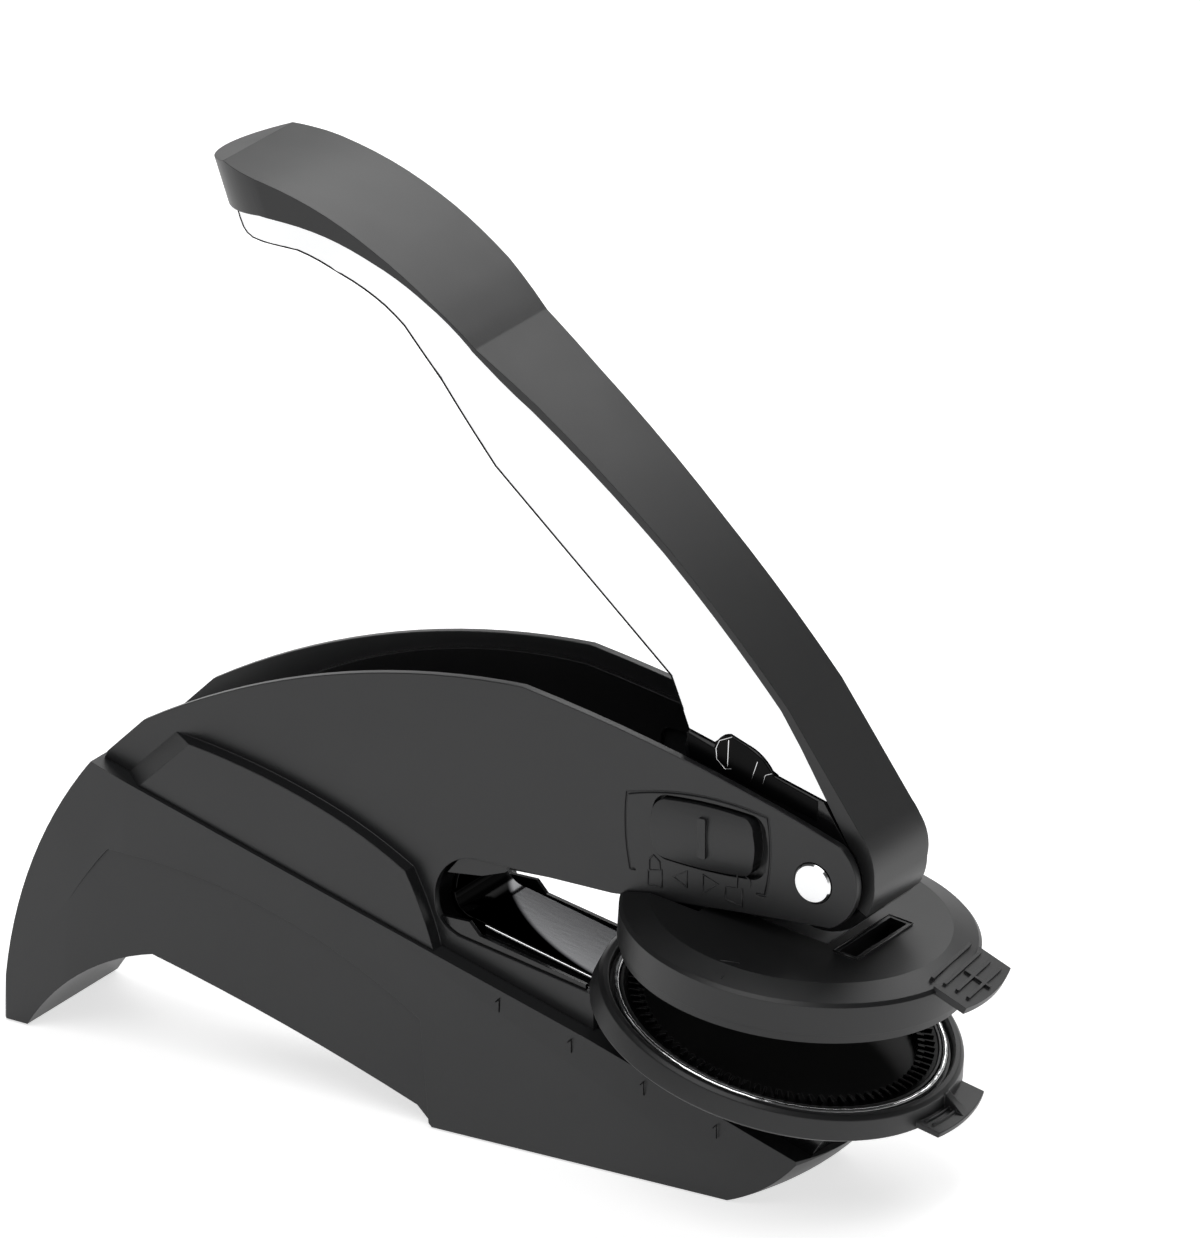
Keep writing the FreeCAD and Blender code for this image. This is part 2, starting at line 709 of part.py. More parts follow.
def on_rim_slope(shape):
    """Lays what is made about the plane z = 0 on the sloping rim in front, turned as the tabs are."""
    joint = 25.6
    height = 0.2
    slope = math.degrees(math.atan2(PLATEAU_RISE - height, joint - PLATEAU_RADIUS))
    placed = shape.copy()
    placed.rotate(Vector(joint, 0, 0), Vector(0, 1, 0), slope)
    placed.translate(Vector(0, 0, height))
    return turned_tab(placed)


def upper_tab():
    """The upper finger tab: a plate that carries on the rim's slope, with a web below."""
    web = slab(outline_face((24, -5.2), [(26.2, -5.2), (29.8, -2.4), (29.8, -1.9), (24, -0.6)]), -0.9, 0.9)
    tab = on_rim_slope(finger_tab(-1.1, 0.0)).fuse(turned_tab(web))
    return tab.cut(outside(25.6))


def tab_ribs():
    """Four straight grip ribs across the rim and the tab, the outer two tied by a bar."""
    ribs = block(25.8, 30.2, -0.25, 0.25, -0.6, 0.4)
    for step, half in enumerate((6.6, 6.1, 5.6, 5.6)):
        reach = 23.4 + 1.9 * step
        ribs = ribs.fuse(block(reach - 0.25, reach + 0.25, -half, half, -0.6, 0.4))
    return on_rim_slope(ribs)


def cover_relief():
    """Steps in the holder's rear that let it rise between the side covers' lower edges."""
    near = -COVER_OUTER - 0.5
    far = -COVER_OUTER + COVER_WALL + 0.5
    shallow = both_sides(block(-20, -11.0, near, far, 0.2, 5))
    deep = both_sides(block(-30, -18.6, near, far, -1.2, 5))
    middle = block(-30, -20.6, near, -near, 0.8, 5)
    return shallow.fuse(deep).fuse(middle)


def make_clip_upper():
    """The upper holder: plateau and sloping rim, a framed window, the pad's seat and a finger tab."""
    holder = turned(upper_holder_outline()).fuse(upper_tab()).fuse(tab_ribs())
    frame = block(9.9, 13.9, -7.7, 7.7, 0, PLATEAU_RISE + 0.25)
    window = block(10.5, 13.3, -7.1, 7.1, -1.2, 5)
    pad_seat = block(-13.5, 8.0, -6.0, 6.0, PLATEAU_RISE - PAD_SINK, 5)
    holder = holder.fuse(frame).cut(window).cut(cover_relief()).cut(pad_seat)
    return tipped(holder, UPPER_X, UPPER_Z, UPPER_TILT)


def make_press_pad():
    pad = block(-13.4, 7.9, -5.9, 5.9, PLATEAU_RISE - PAD_SINK, PLATEAU_RISE)
    return tipped(pad, UPPER_X, UPPER_Z, UPPER_TILT)


def make_die_upper():
    """The counter die, a round plate over the lower die's face."""
    plate = Part.makeCylinder(22.2, 1.6, Vector(0, 0, -5.6))
    return tipped(plate, UPPER_X, UPPER_Z, UPPER_TILT)


# ---- handle ----
def from_pivot(reach, angle):
    """A point at a reach from the pivot; the angle is from +X towards +Z, in degrees."""
    turn = math.radians(angle)
    return (PIVOT_X + reach * math.cos(turn), PIVOT_Z + reach * math.sin(turn))


def handle_wedge(stations):
    """Plan of the handle as a prism, from (distance from the grip's tip, half width) pairs."""
    tip = Vector(-46, 0, 144)
    along = Vector(0.755, 0, -0.656)
    across = Vector(0.656, 0, 0.755)
    deep = 90.0
    near = [tip + along * reach - Vector(0, half, 0) for reach, half in stations]
    far = [tip + along * reach + Vector(0, half, 0) for reach, half in reversed(stations)]
    points = [point - across * deep for point in near + far]
    face = Part.Face(Part.makePolygon(points + [points[0]]))
    return face.extrude(across * (2 * deep))


def cover_plan():
    """Taper of the handle's cover, from the wide grip down to the narrow arm."""
    return handle_wedge([(-20, GRIP_HALF_WIDTH - 0.4), (6, GRIP_HALF_WIDTH), (30, GRIP_HALF_WIDTH),
                         (41, GRIP_HALF_WIDTH - 0.35), (50, GRIP_HALF_WIDTH - 1.4),
                         (62, GRIP_HALF_WIDTH - 2.4), (90, ARM_HALF_WIDTH + 0.15),
                         (118, ARM_HALF_WIDTH), (190, ARM_HALF_WIDTH)])


def trim_plan():
    """The trim fills the grip's width and narrows early, to drop between the frame plates."""
    wide = GRIP_HALF_WIDTH - TRIM_INSET
    return handle_wedge([(-20, wide - 0.4), (28, wide), (36, wide - 1.6), (49, TRIM_HALF_WIDTH + 0.15),
                         (60, TRIM_HALF_WIDTH), (190, TRIM_HALF_WIDTH)])


def grip_end(radius):
    """The grip ends round in plan: a leaning cylinder, and all that lies ahead of its axis."""
    foot = Vector(END_AXIS_X, 0, GRIP_TIP[1])
    low = foot - END_LEAN * 170
    high = foot + END_LEAN * 30
    round_end = Part.makeCylinder(radius, (high - low).Length, low, END_LEAN)
    ahead = side_slab((low.x, low.z), [(high.x, high.z), (160, high.z), (160, low.z)], -WIDE, WIDE)
    return round_end.fuse(ahead)


def handle_cover_face():
    """Outer line of the cover, round the hub, and back along the joint with the trim."""
    return outline_face((-49.6, 138.6), [
        GRIP_TIP,
        ((-20.2, 134.8), BEND_TOP),
        ((27.2, 99.4), ARM_TOP),
        ARM_FOOT,
        ((64.5, 56.0), from_pivot(HUB_RADIUS, 6)),
        (from_pivot(HUB_RADIUS, -13), from_pivot(HUB_RADIUS, -32)),
        from_pivot(HUB_RADIUS - CAP_THICKNESS, -32),
        (from_pivot(HUB_RADIUS - CAP_THICKNESS, -5), (60.9, 56.6)),
        (57.4, 62.5),
        (52.9, 70.0),
        (49.6, 75.0),
        ((26.4, 98.5), (-0.5, 119.3)),
        ((-8.8, 126.3), (-16.5, 130.3)),
        ((-26.6, 133.4), (-35.4, 134.2)),
        (-39.4, 133.6),
        (-47.0, 132.6),
    ])


def make_handle_cover():
    cover = slab(handle_cover_face(), -WIDE, WIDE).common(cover_plan()).common(grip_end(END_RADIUS))
    return cover.cut(make_lever_core())


def trim_outer_face():
    """The bright shell under the handle, from the grip down to the hub."""
    return outline_face((-47.0, 132.5), [
        (-39.4, 133.5),
        (-35.4, 134.1),
        ((-26.6, 133.3), (-16.6, 130.2)),
        ((-8.9, 126.2), (-0.6, 119.2)),
        ((26.3, 98.4), (49.5, 74.9)),
        (52.8, 69.9),
        (57.1, 62.6),
        (34.2, 69.0),
        (33.2, 71.6),
        (31.2, 76.5),
        (1.9, 102.4),
        ((-5.6, 111.9), (-12.4, 121.4)),
        ((-19.8, 127.1), (-29.0, 130.3)),
        (-36.8, 130.2),
    ])


def trim_hollow():
    """The shell is open towards the cover; the lever's core lies in it."""
    half = TRIM_HALF_WIDTH - TRIM_WALL
    return side_slab((-31.0, 140), [
        (-31.0, 131.6),
        ((-13.4, 124.2), (3.4, 103.6)),
        (33.2, 76.8),
        (35.6, 69.8),
        (56.6, 63.8),
        (70, 62),
        (70, 140),
    ], -half, half)


def make_handle_trim():
    trim = slab(trim_outer_face(), -WIDE, WIDE).common(trim_plan()).common(grip_end(END_RADIUS - 0.7))
    trim = trim.cut(trim_hollow())
    lug_room = slab(lug_face().makeOffset2D(0.2), -WIDE, WIDE)
    below_lug = side_slab((38.2, 60), [(38.2, 67.6), (40.6, 69.5), (49.0, 65.0), (49.6, 60)], -WIDE, WIDE)
    return trim.cut(lug_room).cut(below_lug).cut(make_lever_core())


def hub_face():
    """The black hub under the trim: bearing, pressing nose and the shoulder behind it."""
    nose_angle = 180 + NOSE_DROP_ANGLE
    nose = from_pivot(NOSE_REACH, nose_angle)
    inner = HUB_RADIUS - CAP_THICKNESS - TINY
    return outline_face((34.2, 68.7), [
        (56.6, 62.45),
        (60.6, 56.3),
        (from_pivot(inner, 0), from_pivot(inner, -60)),
        (from_pivot(inner + 0.4, -100)),
        (nose[0] + 1.2, nose[1] - NOSE_RADIUS + 0.24),
        ((nose[0] - 2.2, nose[1] - 2.3), (nose[0] - NOSE_RADIUS, nose[1] + 0.4)),
        (34.4, 55.0),
        (33.6, 66.4),
    ])


def core_bar_face():
    """The steel bar inside the handle, let into the hub."""
    return outline_face((-30.0, 135.0), [
        ((-15.0, 129.8), (-0.8, 119.0)),
        ((23.4, 97.6), (47.6, 73.6)),
        (54.4, 63.8),
        (46.0, 66.4),
        ((22.4, 92.0), (-1.0, 112.6)),
        ((-14.0, 124.4), (-30.0, 131.8)),
    ])


def lug_face():
    """Side view of the hooked lug on the hub."""
    return outline_face((41.2, 63.4), [
        ((38.9, 65.6), (38.7, 67.2)),
        ((39.7, 68.7), (41.2, 69.4)),
        (43.9, 68.4),
        ((46.3, 67.2), (48.4, 64.6)),
        (46.6, 61.9),
    ])


def make_lever_hub():
    """Bearing, pressing nose and lug of the lever, with room for its steel bar, the pin and the spring."""
    half = HUB_HALF_WIDTH
    lug = slab(lug_face(), -half, half)
    slots = side_slab((30, 68.6), [(60, 60.6), (60, 80), (30, 80)], -5.0, -4.2)
    hub = slab(hub_face(), -half, half).fuse(lug).cut(both_sides(slots).common(lug))
    hub = hub.cut(make_lever_core())
    hub = hub.cut(cross_cylinder(PIVOT_X, PIVOT_Z, PIN_RADIUS + PIN_RUNNING_GAP, -WIDE, WIDE))
    return hub.cut(cross_cylinder(PIVOT_X, PIVOT_Z, SPRING_ROOM, -3.6, 3.6))


def make_lever_core():
    return slab(core_bar_face(), -CORE_HALF_WIDTH, CORE_HALF_WIDTH)


def make_torsion_spring():
    """The coil about the pivot pin that lifts the handle again, drawn as a sleeve with a ridge per turn."""
    pitch = 2 * SPRING_WIRE
    half = SPRING_TURNS * pitch / 2
    inside = SPRING_MEAN - SPRING_WIRE
    valley = SPRING_MEAN + 0.1
    outer = []
    for turn in range(SPRING_TURNS):
        low = -half + turn * pitch
        outer += [(valley, low), (SPRING_MEAN + SPRING_WIRE, low + SPRING_WIRE)]
    outer.append((valley, half))
    sleeve = turned(outer + [(inside, half), (inside, -half)])
    sleeve.rotate(Vector(0, 0, 0), Vector(1, 0, 0), 90)
    sleeve.translate(Vector(PIVOT_X, 0, PIVOT_Z))
    return sleeve


# ---- lock ----
def make_lock_button():
    """A button with a crowned face and a grip ridge, on a flange that slides behind the cover."""
    inner = COVER_OUTER - COVER_WALL
    face = COVER_OUTER + 1.0
    middle_x = sum(BUTTON_RANGE) / 2
    middle_z = sum(BUTTON_HEIGHTS) / 2
    crown_radius = 22.0
    cap = slab(button_face(), -face, -inner + 0.2)
    crown = Part.makeCylinder(crown_radius, 60, Vector(middle_x - 30, crown_radius - face, middle_z),
                              Vector(1, 0, 0))
    cap = cap.common(crown)
    flange = rounded_block(22.0, 50.4, -inner + 0.1, -inner + 0.8, 46.5, 60.4, 1.0)
    flange = flange.cut(block(20.0, 27.4, -WIDE, WIDE, 50.2, 70))
    grip = rounded_block(38.2, 39.5, -face - 0.4, -face + 0.7, 51.4, 57.6, 0.3)
    return cap.fuse(flange).fuse(grip)


def make_lock_bar():
    """The bar that joins the two buttons, with the latch tooth that holds the clip."""
    half = COVER_OUTER - COVER_WALL - 0.8
    bar = block(22.4, 26.0, -half, half, 46.8, 49.2)
    tooth = side_slab((22.6, 47.0), [(22.6, 45.4), (23.6, 44.5), (25.6, 44.5), (25.6, 47.0)], -2.2, 2.2)
    return bar.fuse(tooth)


export("base_shell", make_base_shell())
export("base_plate", make_base_plate())
export("base_screws", make_base_screws())
export("front_pad", front_pad_shape())
export("rear_pad", rear_pad_shape())
right_plate = make_frame_plate()
export("frame_plate_right", right_plate)
export("frame_plate_left", mirrored(right_plate))
export("frame_rivets", make_frame_rivets())
export("inner_body", make_inner_body())
right_cover = make_side_cover()
export("side_cover_right", right_cover)
export("side_cover_left", mirrored(right_cover))
export("pivot_pin", make_pivot_pin())
export("pin_washers", make_pin_washers())
export("torsion_spring", make_torsion_spring())
export("lower_bed", make_lower_bed())
export("clip_leaf_lower", make_clip_leaf_lower())
export("clip_lower", make_clip_lower())
export("retaining_ring", make_retaining_ring())
export("die_lower", make_die_lower())
export("clip_leaf_upper", make_clip_leaf_upper())
export("clip_upper", make_clip_upper())
export("press_pad", make_press_pad())
export("die_upper", make_die_upper())
export("handle_cover", make_handle_cover())
export("handle_trim", make_handle_trim())
export("lever_hub", make_lever_hub())
export("lever_core", make_lever_core())
right_button = make_lock_button()
export("lock_button_right", right_button)
export("lock_button_left", mirrored(right_button))
export("lock_bar", make_lock_bar())
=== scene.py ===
"""Desk seal embosser: dresses the CAD frame with finishes, rounded edges and small details.

Every mesh is in metres in the CAD frame: +X towards the dies, +Y to the left side, +Z up, desk at Z = 0.
"""

import cmath
import json
import logging
import math
from dataclasses import dataclass, field
from enum import Enum
from typing import Callable, Iterable, Sequence

import bmesh
import bpy
from mathutils import Matrix, Vector


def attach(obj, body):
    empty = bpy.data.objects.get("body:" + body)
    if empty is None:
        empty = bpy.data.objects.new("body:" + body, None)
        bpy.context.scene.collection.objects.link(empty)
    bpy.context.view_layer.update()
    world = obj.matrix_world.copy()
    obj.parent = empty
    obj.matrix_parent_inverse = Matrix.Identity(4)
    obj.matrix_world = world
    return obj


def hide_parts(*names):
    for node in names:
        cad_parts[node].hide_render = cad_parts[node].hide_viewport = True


LOG = logging.getLogger("seal_embosser")
MM = 0.001
WELD = 2e-6  # metres within which a CAD mesh's points are one
FLAT = math.radians(0.4)  # up to this angle its facets are joined
Material, Mesh, Piece = bpy.types.Material, bpy.types.Mesh, bpy.types.Object
Node, Socket, Tree = bpy.types.Node, bpy.types.NodeSocket, bpy.types.NodeTree
PIVOT = (56.56, 51.08)  # X and Z of the lever's pin, in millimetres
SIDES = (("right", -1.0), ("left", 1.0))
Point = tuple[float, float, float]
Flat = tuple[float, float]
Line = tuple[Sequence[Point], bool]

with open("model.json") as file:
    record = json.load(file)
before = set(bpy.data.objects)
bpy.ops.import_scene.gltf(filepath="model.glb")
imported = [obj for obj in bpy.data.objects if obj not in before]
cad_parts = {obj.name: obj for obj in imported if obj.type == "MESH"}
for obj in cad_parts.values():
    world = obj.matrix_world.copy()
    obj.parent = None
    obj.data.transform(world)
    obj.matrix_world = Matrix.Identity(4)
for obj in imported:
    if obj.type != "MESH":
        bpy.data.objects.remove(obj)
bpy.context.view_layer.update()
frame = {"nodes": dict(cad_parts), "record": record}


# ---- Finishes ----
class Slot(Enum):
    """Material slots of the record, one finish each."""

    BASE = "base_plastic"
    COVER = "cover_plastic"
    CLIP = "clip_plastic"
    GLOSS = "gloss_plastic"
    HIDDEN = "hidden_plastic"
    GRIP = "grip_plastic"
    TRIM = "bright_trim"
    BRIGHT = "bright_steel"
    FRAME = "frame_steel"
    SPRING = "spring_steel"
    STEEL = "steel"
    DIE = "die_black"
    RUBBER = "rubber"


@dataclass(frozen=True)
class PaintedReflection:
    """Painted reflection: a round area, seen from above, outside which a finish turns to another, darker tone
    that stands for the throat's dark mirrored in it. In millimetres.
    """

    centre: Flat
    radius: float
    soft: float
    outside: Point


@dataclass(frozen=True)
class Finish:
    """One surface finish, in plain shader terms.

    Lengths are in millimetres. Spread is how far the roughness varies with the smears of handling,
    grain is the fine texture of the mould or of the brushing, stretch draws it out along an axis, wear
    is how far the paler edge tone shows, and edge_tint dims a metal's mirror at a flat angle.
    """

    slot: Slot
    colour: Point
    roughness: float
    spread: float = 0.12
    metallic: float = 0.0
    grain: float = 0.35
    grain_depth: float = 0.02
    stretch: Point = (1.0, 1.0, 1.0)
    wear: float = 0.25
    wear_colour: Point = (0.06, 0.062, 0.066)
    edge_radius: float = 0.12
    specular: float = 0.5
    edge_tint: float = 1.0
    ior: float = 1.5
    # patch: a round area outside which the colour is a painted reflection, the dark of the throat mirrored in
    # the leaf
    patch: PaintedReflection | None = None


FINISHES: tuple[Finish, ...] = (
    Finish(Slot.BASE, (0.018, 0.0185, 0.0195), 0.42, grain=0.30, grain_depth=0.020),
    Finish(Slot.COVER, (0.014, 0.0143, 0.0152), 0.36, grain=0.26, grain_depth=0.014),
    Finish(Slot.CLIP, (0.012, 0.0122, 0.0128), 0.40, grain=0.28, grain_depth=0.016),
    Finish(Slot.GLOSS, (0.006, 0.006, 0.0065), 0.16, spread=0.08, grain=0.6, grain_depth=0.004),
    Finish(Slot.HIDDEN, (0.008, 0.008, 0.0085), 0.34, grain=0.30, grain_depth=0.016),
    Finish(Slot.GRIP, (0.016, 0.0162, 0.0168), 0.38, grain=0.24, grain_depth=0.014),
    Finish(Slot.TRIM, (0.86, 0.865, 0.87), 0.22, metallic=1.0, grain=0.5, grain_depth=0.003,
           stretch=(0.12, 1.0, 1.0), wear=0.0),
    Finish(Slot.BRIGHT, (0.84, 0.845, 0.85), 0.16, metallic=1.0, grain=0.4, grain_depth=0.004,
           wear=0.0),
    Finish(Slot.FRAME, (0.010, 0.010, 0.0105), 0.30, grain=0.4, grain_depth=0.010),
    # the leaf's rear, outside the round area, gets a painted reflection: the throat's dark mirrored in the
    # steel
    Finish(Slot.SPRING, (0.125, 0.126, 0.129), 0.10, spread=0.08, metallic=1.0, grain=0.7,
           grain_depth=0.002, stretch=(0.10, 1.0, 1.0), wear=0.05, edge_tint=0.22,
           patch=PaintedReflection((21.6, 26.1), 32.5, 0.6, (0.012, 0.012, 0.012))),
    Finish(Slot.STEEL, (0.46, 0.465, 0.475), 0.30, metallic=1.0, grain=0.25, grain_depth=0.010,
           stretch=(0.10, 1.0, 1.0), wear=0.0),
    Finish(Slot.DIE, (0.002, 0.002, 0.0022), 0.30, grain=0.3, grain_depth=0.008, wear=0.04,
           wear_colour=(0.02, 0.02, 0.02), specular=0.08),
    Finish(Slot.RUBBER, (0.010, 0.010, 0.010), 0.75, grain=0.35, grain_depth=0.05, wear=0.0),
)


def feed(tree: Tree, node: Node, inputs: dict[str | int, object]) -> None:
    """Fills a node's inputs.

    Args:
        tree: the node's tree.
        node: the node.
        inputs: its inputs by name or number. A socket is linked, a value is set.
    """
    for label, value in inputs.items():
        if isinstance(value, Socket):
            tree.links.new(value, node.inputs[label])
        else:
            node.inputs[label].default_value = value


def wired(tree: Tree, kind: str, inputs: dict[str | int, object] | None = None, **settings: object) -> Node:
    """Adds a node to a tree.

    Args:
        tree: the tree.
        kind: the node's type.
        inputs: its inputs, as feed takes them.
        settings: its own properties, set before the inputs.

    Returns:
        The node.
    """
    node = tree.nodes.new(kind)
    for label, value in settings.items():
        setattr(node, label, value)
    feed(tree, node, inputs or {})
    return node


def maths(tree: Tree, operation: str, *values: Socket | float, clamp: bool = False) -> Socket:
    """The result of an operation on sockets or plain values."""
    return wired(tree, "ShaderNodeMath", dict(enumerate(values)), operation=operation,
                 use_clamp=clamp).outputs[0]


def noise(tree: Tree, where: Socket, scale: Socket | float, detail: float, distortion: float = 0.0) -> Socket:
    """The value of a noise at some coordinates."""
    return wired(tree, "ShaderNodeTexNoise", {"Vector": where, "Scale": scale, "Detail": detail,
                                              "Distortion": distortion}).outputs["Fac"]


def ramp(tree: Tree, value: Socket, low: float, high: float, first: float = 0.0,
         kind: str = "SMOOTHSTEP") -> Socket:
    """What goes from a first value to 1 while a value goes from low to high."""
    return wired(tree, "ShaderNodeMapRange", {"Value": value, "From Min": low, "From Max": high,
                                              "To Min": first}, interpolation_type=kind).outputs["Result"]


class ShaderGroups:
    """Node groups for the effects that several finishes share. Each is built once."""

    coarse_scale = 420.0
    coarse_share = 0.35
    smear_scale = 48.0
    smear_twist = 0.6
    patch_scale = 260.0
    edge_turn = (0.995, 0.90)

    def __init__(self) -> None:
        """Builds the three groups."""
        self.grain = self._grain()
        self.marks = self._marks()
        self.edges = self._edges()

    @staticmethod
    def _new(name: str, sizes: dict[str, float],
             outputs: dict[str, str]) -> tuple[Tree, bpy.types.NodeOutputs, Node]:
        """Starts a group that reads a Vector and some sizes.

        Args:
            name: the group's name.
            sizes: name and default of each size.
            outputs: name and socket type of each output.

        Returns:
            The tree, the sockets of what it reads, and its output node.
        """
        tree = bpy.data.node_groups.new(name, "ShaderNodeTree")
        face = tree.interface
        face.new_socket(name="Vector", in_out="INPUT", socket_type="NodeSocketVector")
        for label, value in sizes.items():
            face.new_socket(name=label, in_out="INPUT", socket_type="NodeSocketFloat").default_value = value
        for label, kind in outputs.items():
            face.new_socket(name=label, in_out="OUTPUT", socket_type=kind)
        return tree, tree.nodes.new("NodeGroupInput").outputs, tree.nodes.new("NodeGroupOutput")

    @classmethod
    def _grain(cls) -> Tree:
        """Fine moulded or brushed grain: a height made of two sizes of noise."""
        tree, read, sink = cls._new("moulded_grain", {"Grain Size": 0.0003}, {"Height": "NodeSocketFloat"})
        fine = noise(tree, read["Vector"], maths(tree, "DIVIDE", 1.0, read["Grain Size"]), 2.0)
        coarse = noise(tree, read["Vector"], cls.coarse_scale, 1.0)
        feed(tree, sink, {"Height": maths(tree, "MULTIPLY_ADD", coarse, cls.coarse_share, fine)})
        return tree

    @classmethod
    def _marks(cls) -> Tree:
        """Faint broad smears from handling: a roughness that changes over the surface."""
        tree, read, sink = cls._new("handling_marks", {"Base": 0.4, "Spread": 0.05},
                                    {"Roughness": "NodeSocketFloat"})
        smear = noise(tree, read["Vector"], cls.smear_scale, 4.0, cls.smear_twist)
        centred = maths(tree, "SUBTRACT", smear, 0.5)
        varied = maths(tree, "MULTIPLY_ADD", centred, read["Spread"], read["Base"], clamp=True)
        feed(tree, sink, {"Roughness": varied})
        return tree

    @classmethod
    def _edges(cls) -> Tree:
        """Where the surface turns sharply: a mask of edges broken up by noise, and a rounded normal."""
        tree, read, sink = cls._new("edge_wear", {"Radius": 0.0001, "Amount": 0.3},
                                    {"Mask": "NodeSocketFloat", "Normal": "NodeSocketVector"})
        rounded = wired(tree, "ShaderNodeBevel", {"Radius": read["Radius"]}, samples=4)
        plain = wired(tree, "ShaderNodeNewGeometry")
        along = wired(tree, "ShaderNodeVectorMath",
                      {0: rounded.outputs["Normal"], 1: plain.outputs["Normal"]}, operation="DOT_PRODUCT")
        turned = ramp(tree, along.outputs["Value"], *cls.edge_turn, kind="LINEAR")
        patches = noise(tree, read["Vector"], cls.patch_scale, 3.0)
        broken = maths(tree, "MULTIPLY", turned, patches)
        amount = maths(tree, "MULTIPLY", broken, read["Amount"], clamp=True)
        feed(tree, sink, {"Mask": amount, "Normal": rounded.outputs["Normal"]})
        return tree


class FinishBook:
    """Makes and hands out one material for each slot."""

    bump_strength = 0.6

    def __init__(self, groups: ShaderGroups) -> None:
        """Builds every finish with the shared groups."""
        self._groups = groups
        self._made = {finish.slot: self._build(finish) for finish in FINISHES}

    def __getitem__(self, slot: Slot) -> Material:
        """The material of a slot."""
        return self._made[slot]

    @staticmethod
    def _with_painted_reflection(tree: Tree, colour: Point, patch: PaintedReflection) -> Socket:
        """Blends a colour into a painted reflection tone, darker, beyond a round area.

        Args:
            tree: the material's tree.
            colour: the colour inside.
            patch: the round area.

        Returns:
            The colour socket.
        """
        place = wired(tree, "ShaderNodeTexCoord")
        flat = wired(tree, "ShaderNodeVectorMath", {0: place.outputs["Object"], 1: (1.0, 1.0, 0.0)},
                     operation="MULTIPLY")
        away = wired(tree, "ShaderNodeVectorMath",
                     {0: flat.outputs["Vector"], 1: (patch.centre[0] * MM, patch.centre[1] * MM, 0.0)},
                     operation="DISTANCE")
        edge = ramp(tree, away.outputs["Value"], (patch.radius - patch.soft) * MM,
                    (patch.radius + patch.soft) * MM)
        return wired(tree, "ShaderNodeMix", {0: edge, 6: (*colour, 1.0), 7: (*patch.outside, 1.0)},
                     data_type="RGBA").outputs[2]

    def _build(self, finish: Finish) -> Material:
        """Makes the material of one finish.

        Args:
            finish: its numbers.

        Returns:
            The material.
        """
        material = bpy.data.materials.new("finish_" + finish.slot.value)
        material.use_nodes = True
        tree = material.node_tree
        place = wired(tree, "ShaderNodeTexCoord")
        where = wired(tree, "ShaderNodeMapping",
                      {"Vector": place.outputs["Object"], "Scale": finish.stretch}).outputs["Vector"]
        marks = wired(tree, "ShaderNodeGroup",
                      {"Vector": where, "Base": finish.roughness, "Spread": finish.spread},
                      node_tree=self._groups.marks)
        grain = wired(tree, "ShaderNodeGroup", {"Vector": where, "Grain Size": finish.grain * MM},
                      node_tree=self._groups.grain)
        edges = wired(tree, "ShaderNodeGroup",
                      {"Vector": where, "Radius": finish.edge_radius * MM, "Amount": finish.wear},
                      node_tree=self._groups.edges)
        bump = wired(tree, "ShaderNodeBump",
                     {"Strength": self.bump_strength, "Distance": finish.grain_depth * MM,
                      "Height": grain.outputs["Height"]})
        if not finish.metallic:
            feed(tree, bump, {"Normal": edges.outputs["Normal"]})
        colour = (*finish.colour, 1.0)
        if finish.wear:
            # beyond a finish's round area its colour turns to a painted reflection of the throat's dark
            inside = self._with_painted_reflection(tree, finish.colour, finish.patch) if finish.patch else colour
            colour = wired(tree, "ShaderNodeMix",
                           {0: edges.outputs["Mask"], 6: inside, 7: (*finish.wear_colour, 1.0)},
                           data_type="RGBA").outputs[2]
        feed(tree, tree.nodes["Principled BSDF"], {
            "Base Color": colour, "Roughness": marks.outputs["Roughness"],
            "Normal": bump.outputs["Normal"], "Metallic": finish.metallic, "IOR": finish.ior,
            "Specular IOR Level": finish.specular, "Specular Tint": (*(finish.edge_tint,) * 3, 1.0)})
        material.diffuse_color = (*finish.colour, 1.0)
        return material


# ---- Mesh helpers ----
def dress(piece: Piece, material: Material) -> None:
    """Gives every material slot of a piece one material.

    Args:
        piece: the piece.
        material: the material.
    """
    if not piece.data.materials:
        piece.data.materials.append(material)
    for index in range(len(piece.data.materials)):
        piece.data.materials[index] = material


def link(name: str, mesh: Mesh) -> Piece:
    """Puts a mesh in the scene.

    Args:
        name: the piece's name.
        mesh: its mesh.

    Returns:
        The piece, at the origin.
    """
    piece = bpy.data.objects.new(name, mesh)
    bpy.context.scene.collection.objects.link(piece)
    return piece


def baked(piece: Piece) -> Piece:
    """Applies a piece's modifiers into a plain mesh and removes them.

    Args:
        piece: the piece.

    Returns:
        The same piece.
    """
    bpy.context.view_layer.update()
    evaluated = piece.evaluated_get(bpy.context.evaluated_depsgraph_get())
    mesh = bpy.data.meshes.new_from_object(evaluated)
    mesh.name = piece.name
    piece.modifiers.clear()
    old = piece.data
    piece.data = mesh
    bpy.data.meshes.remove(old)
    return piece


@dataclass(frozen=True)
class EdgeWork:
    """How the edges of a moulded node are broken.

    Args:
        node: the CAD node.
        width: the edge radius in millimetres.
        sharp: the angle in degrees from which an edge is rounded.
        segments: steps across the rounding.
    """

    node: str
    width: float
    sharp: float = 32.0
    segments: int = 2


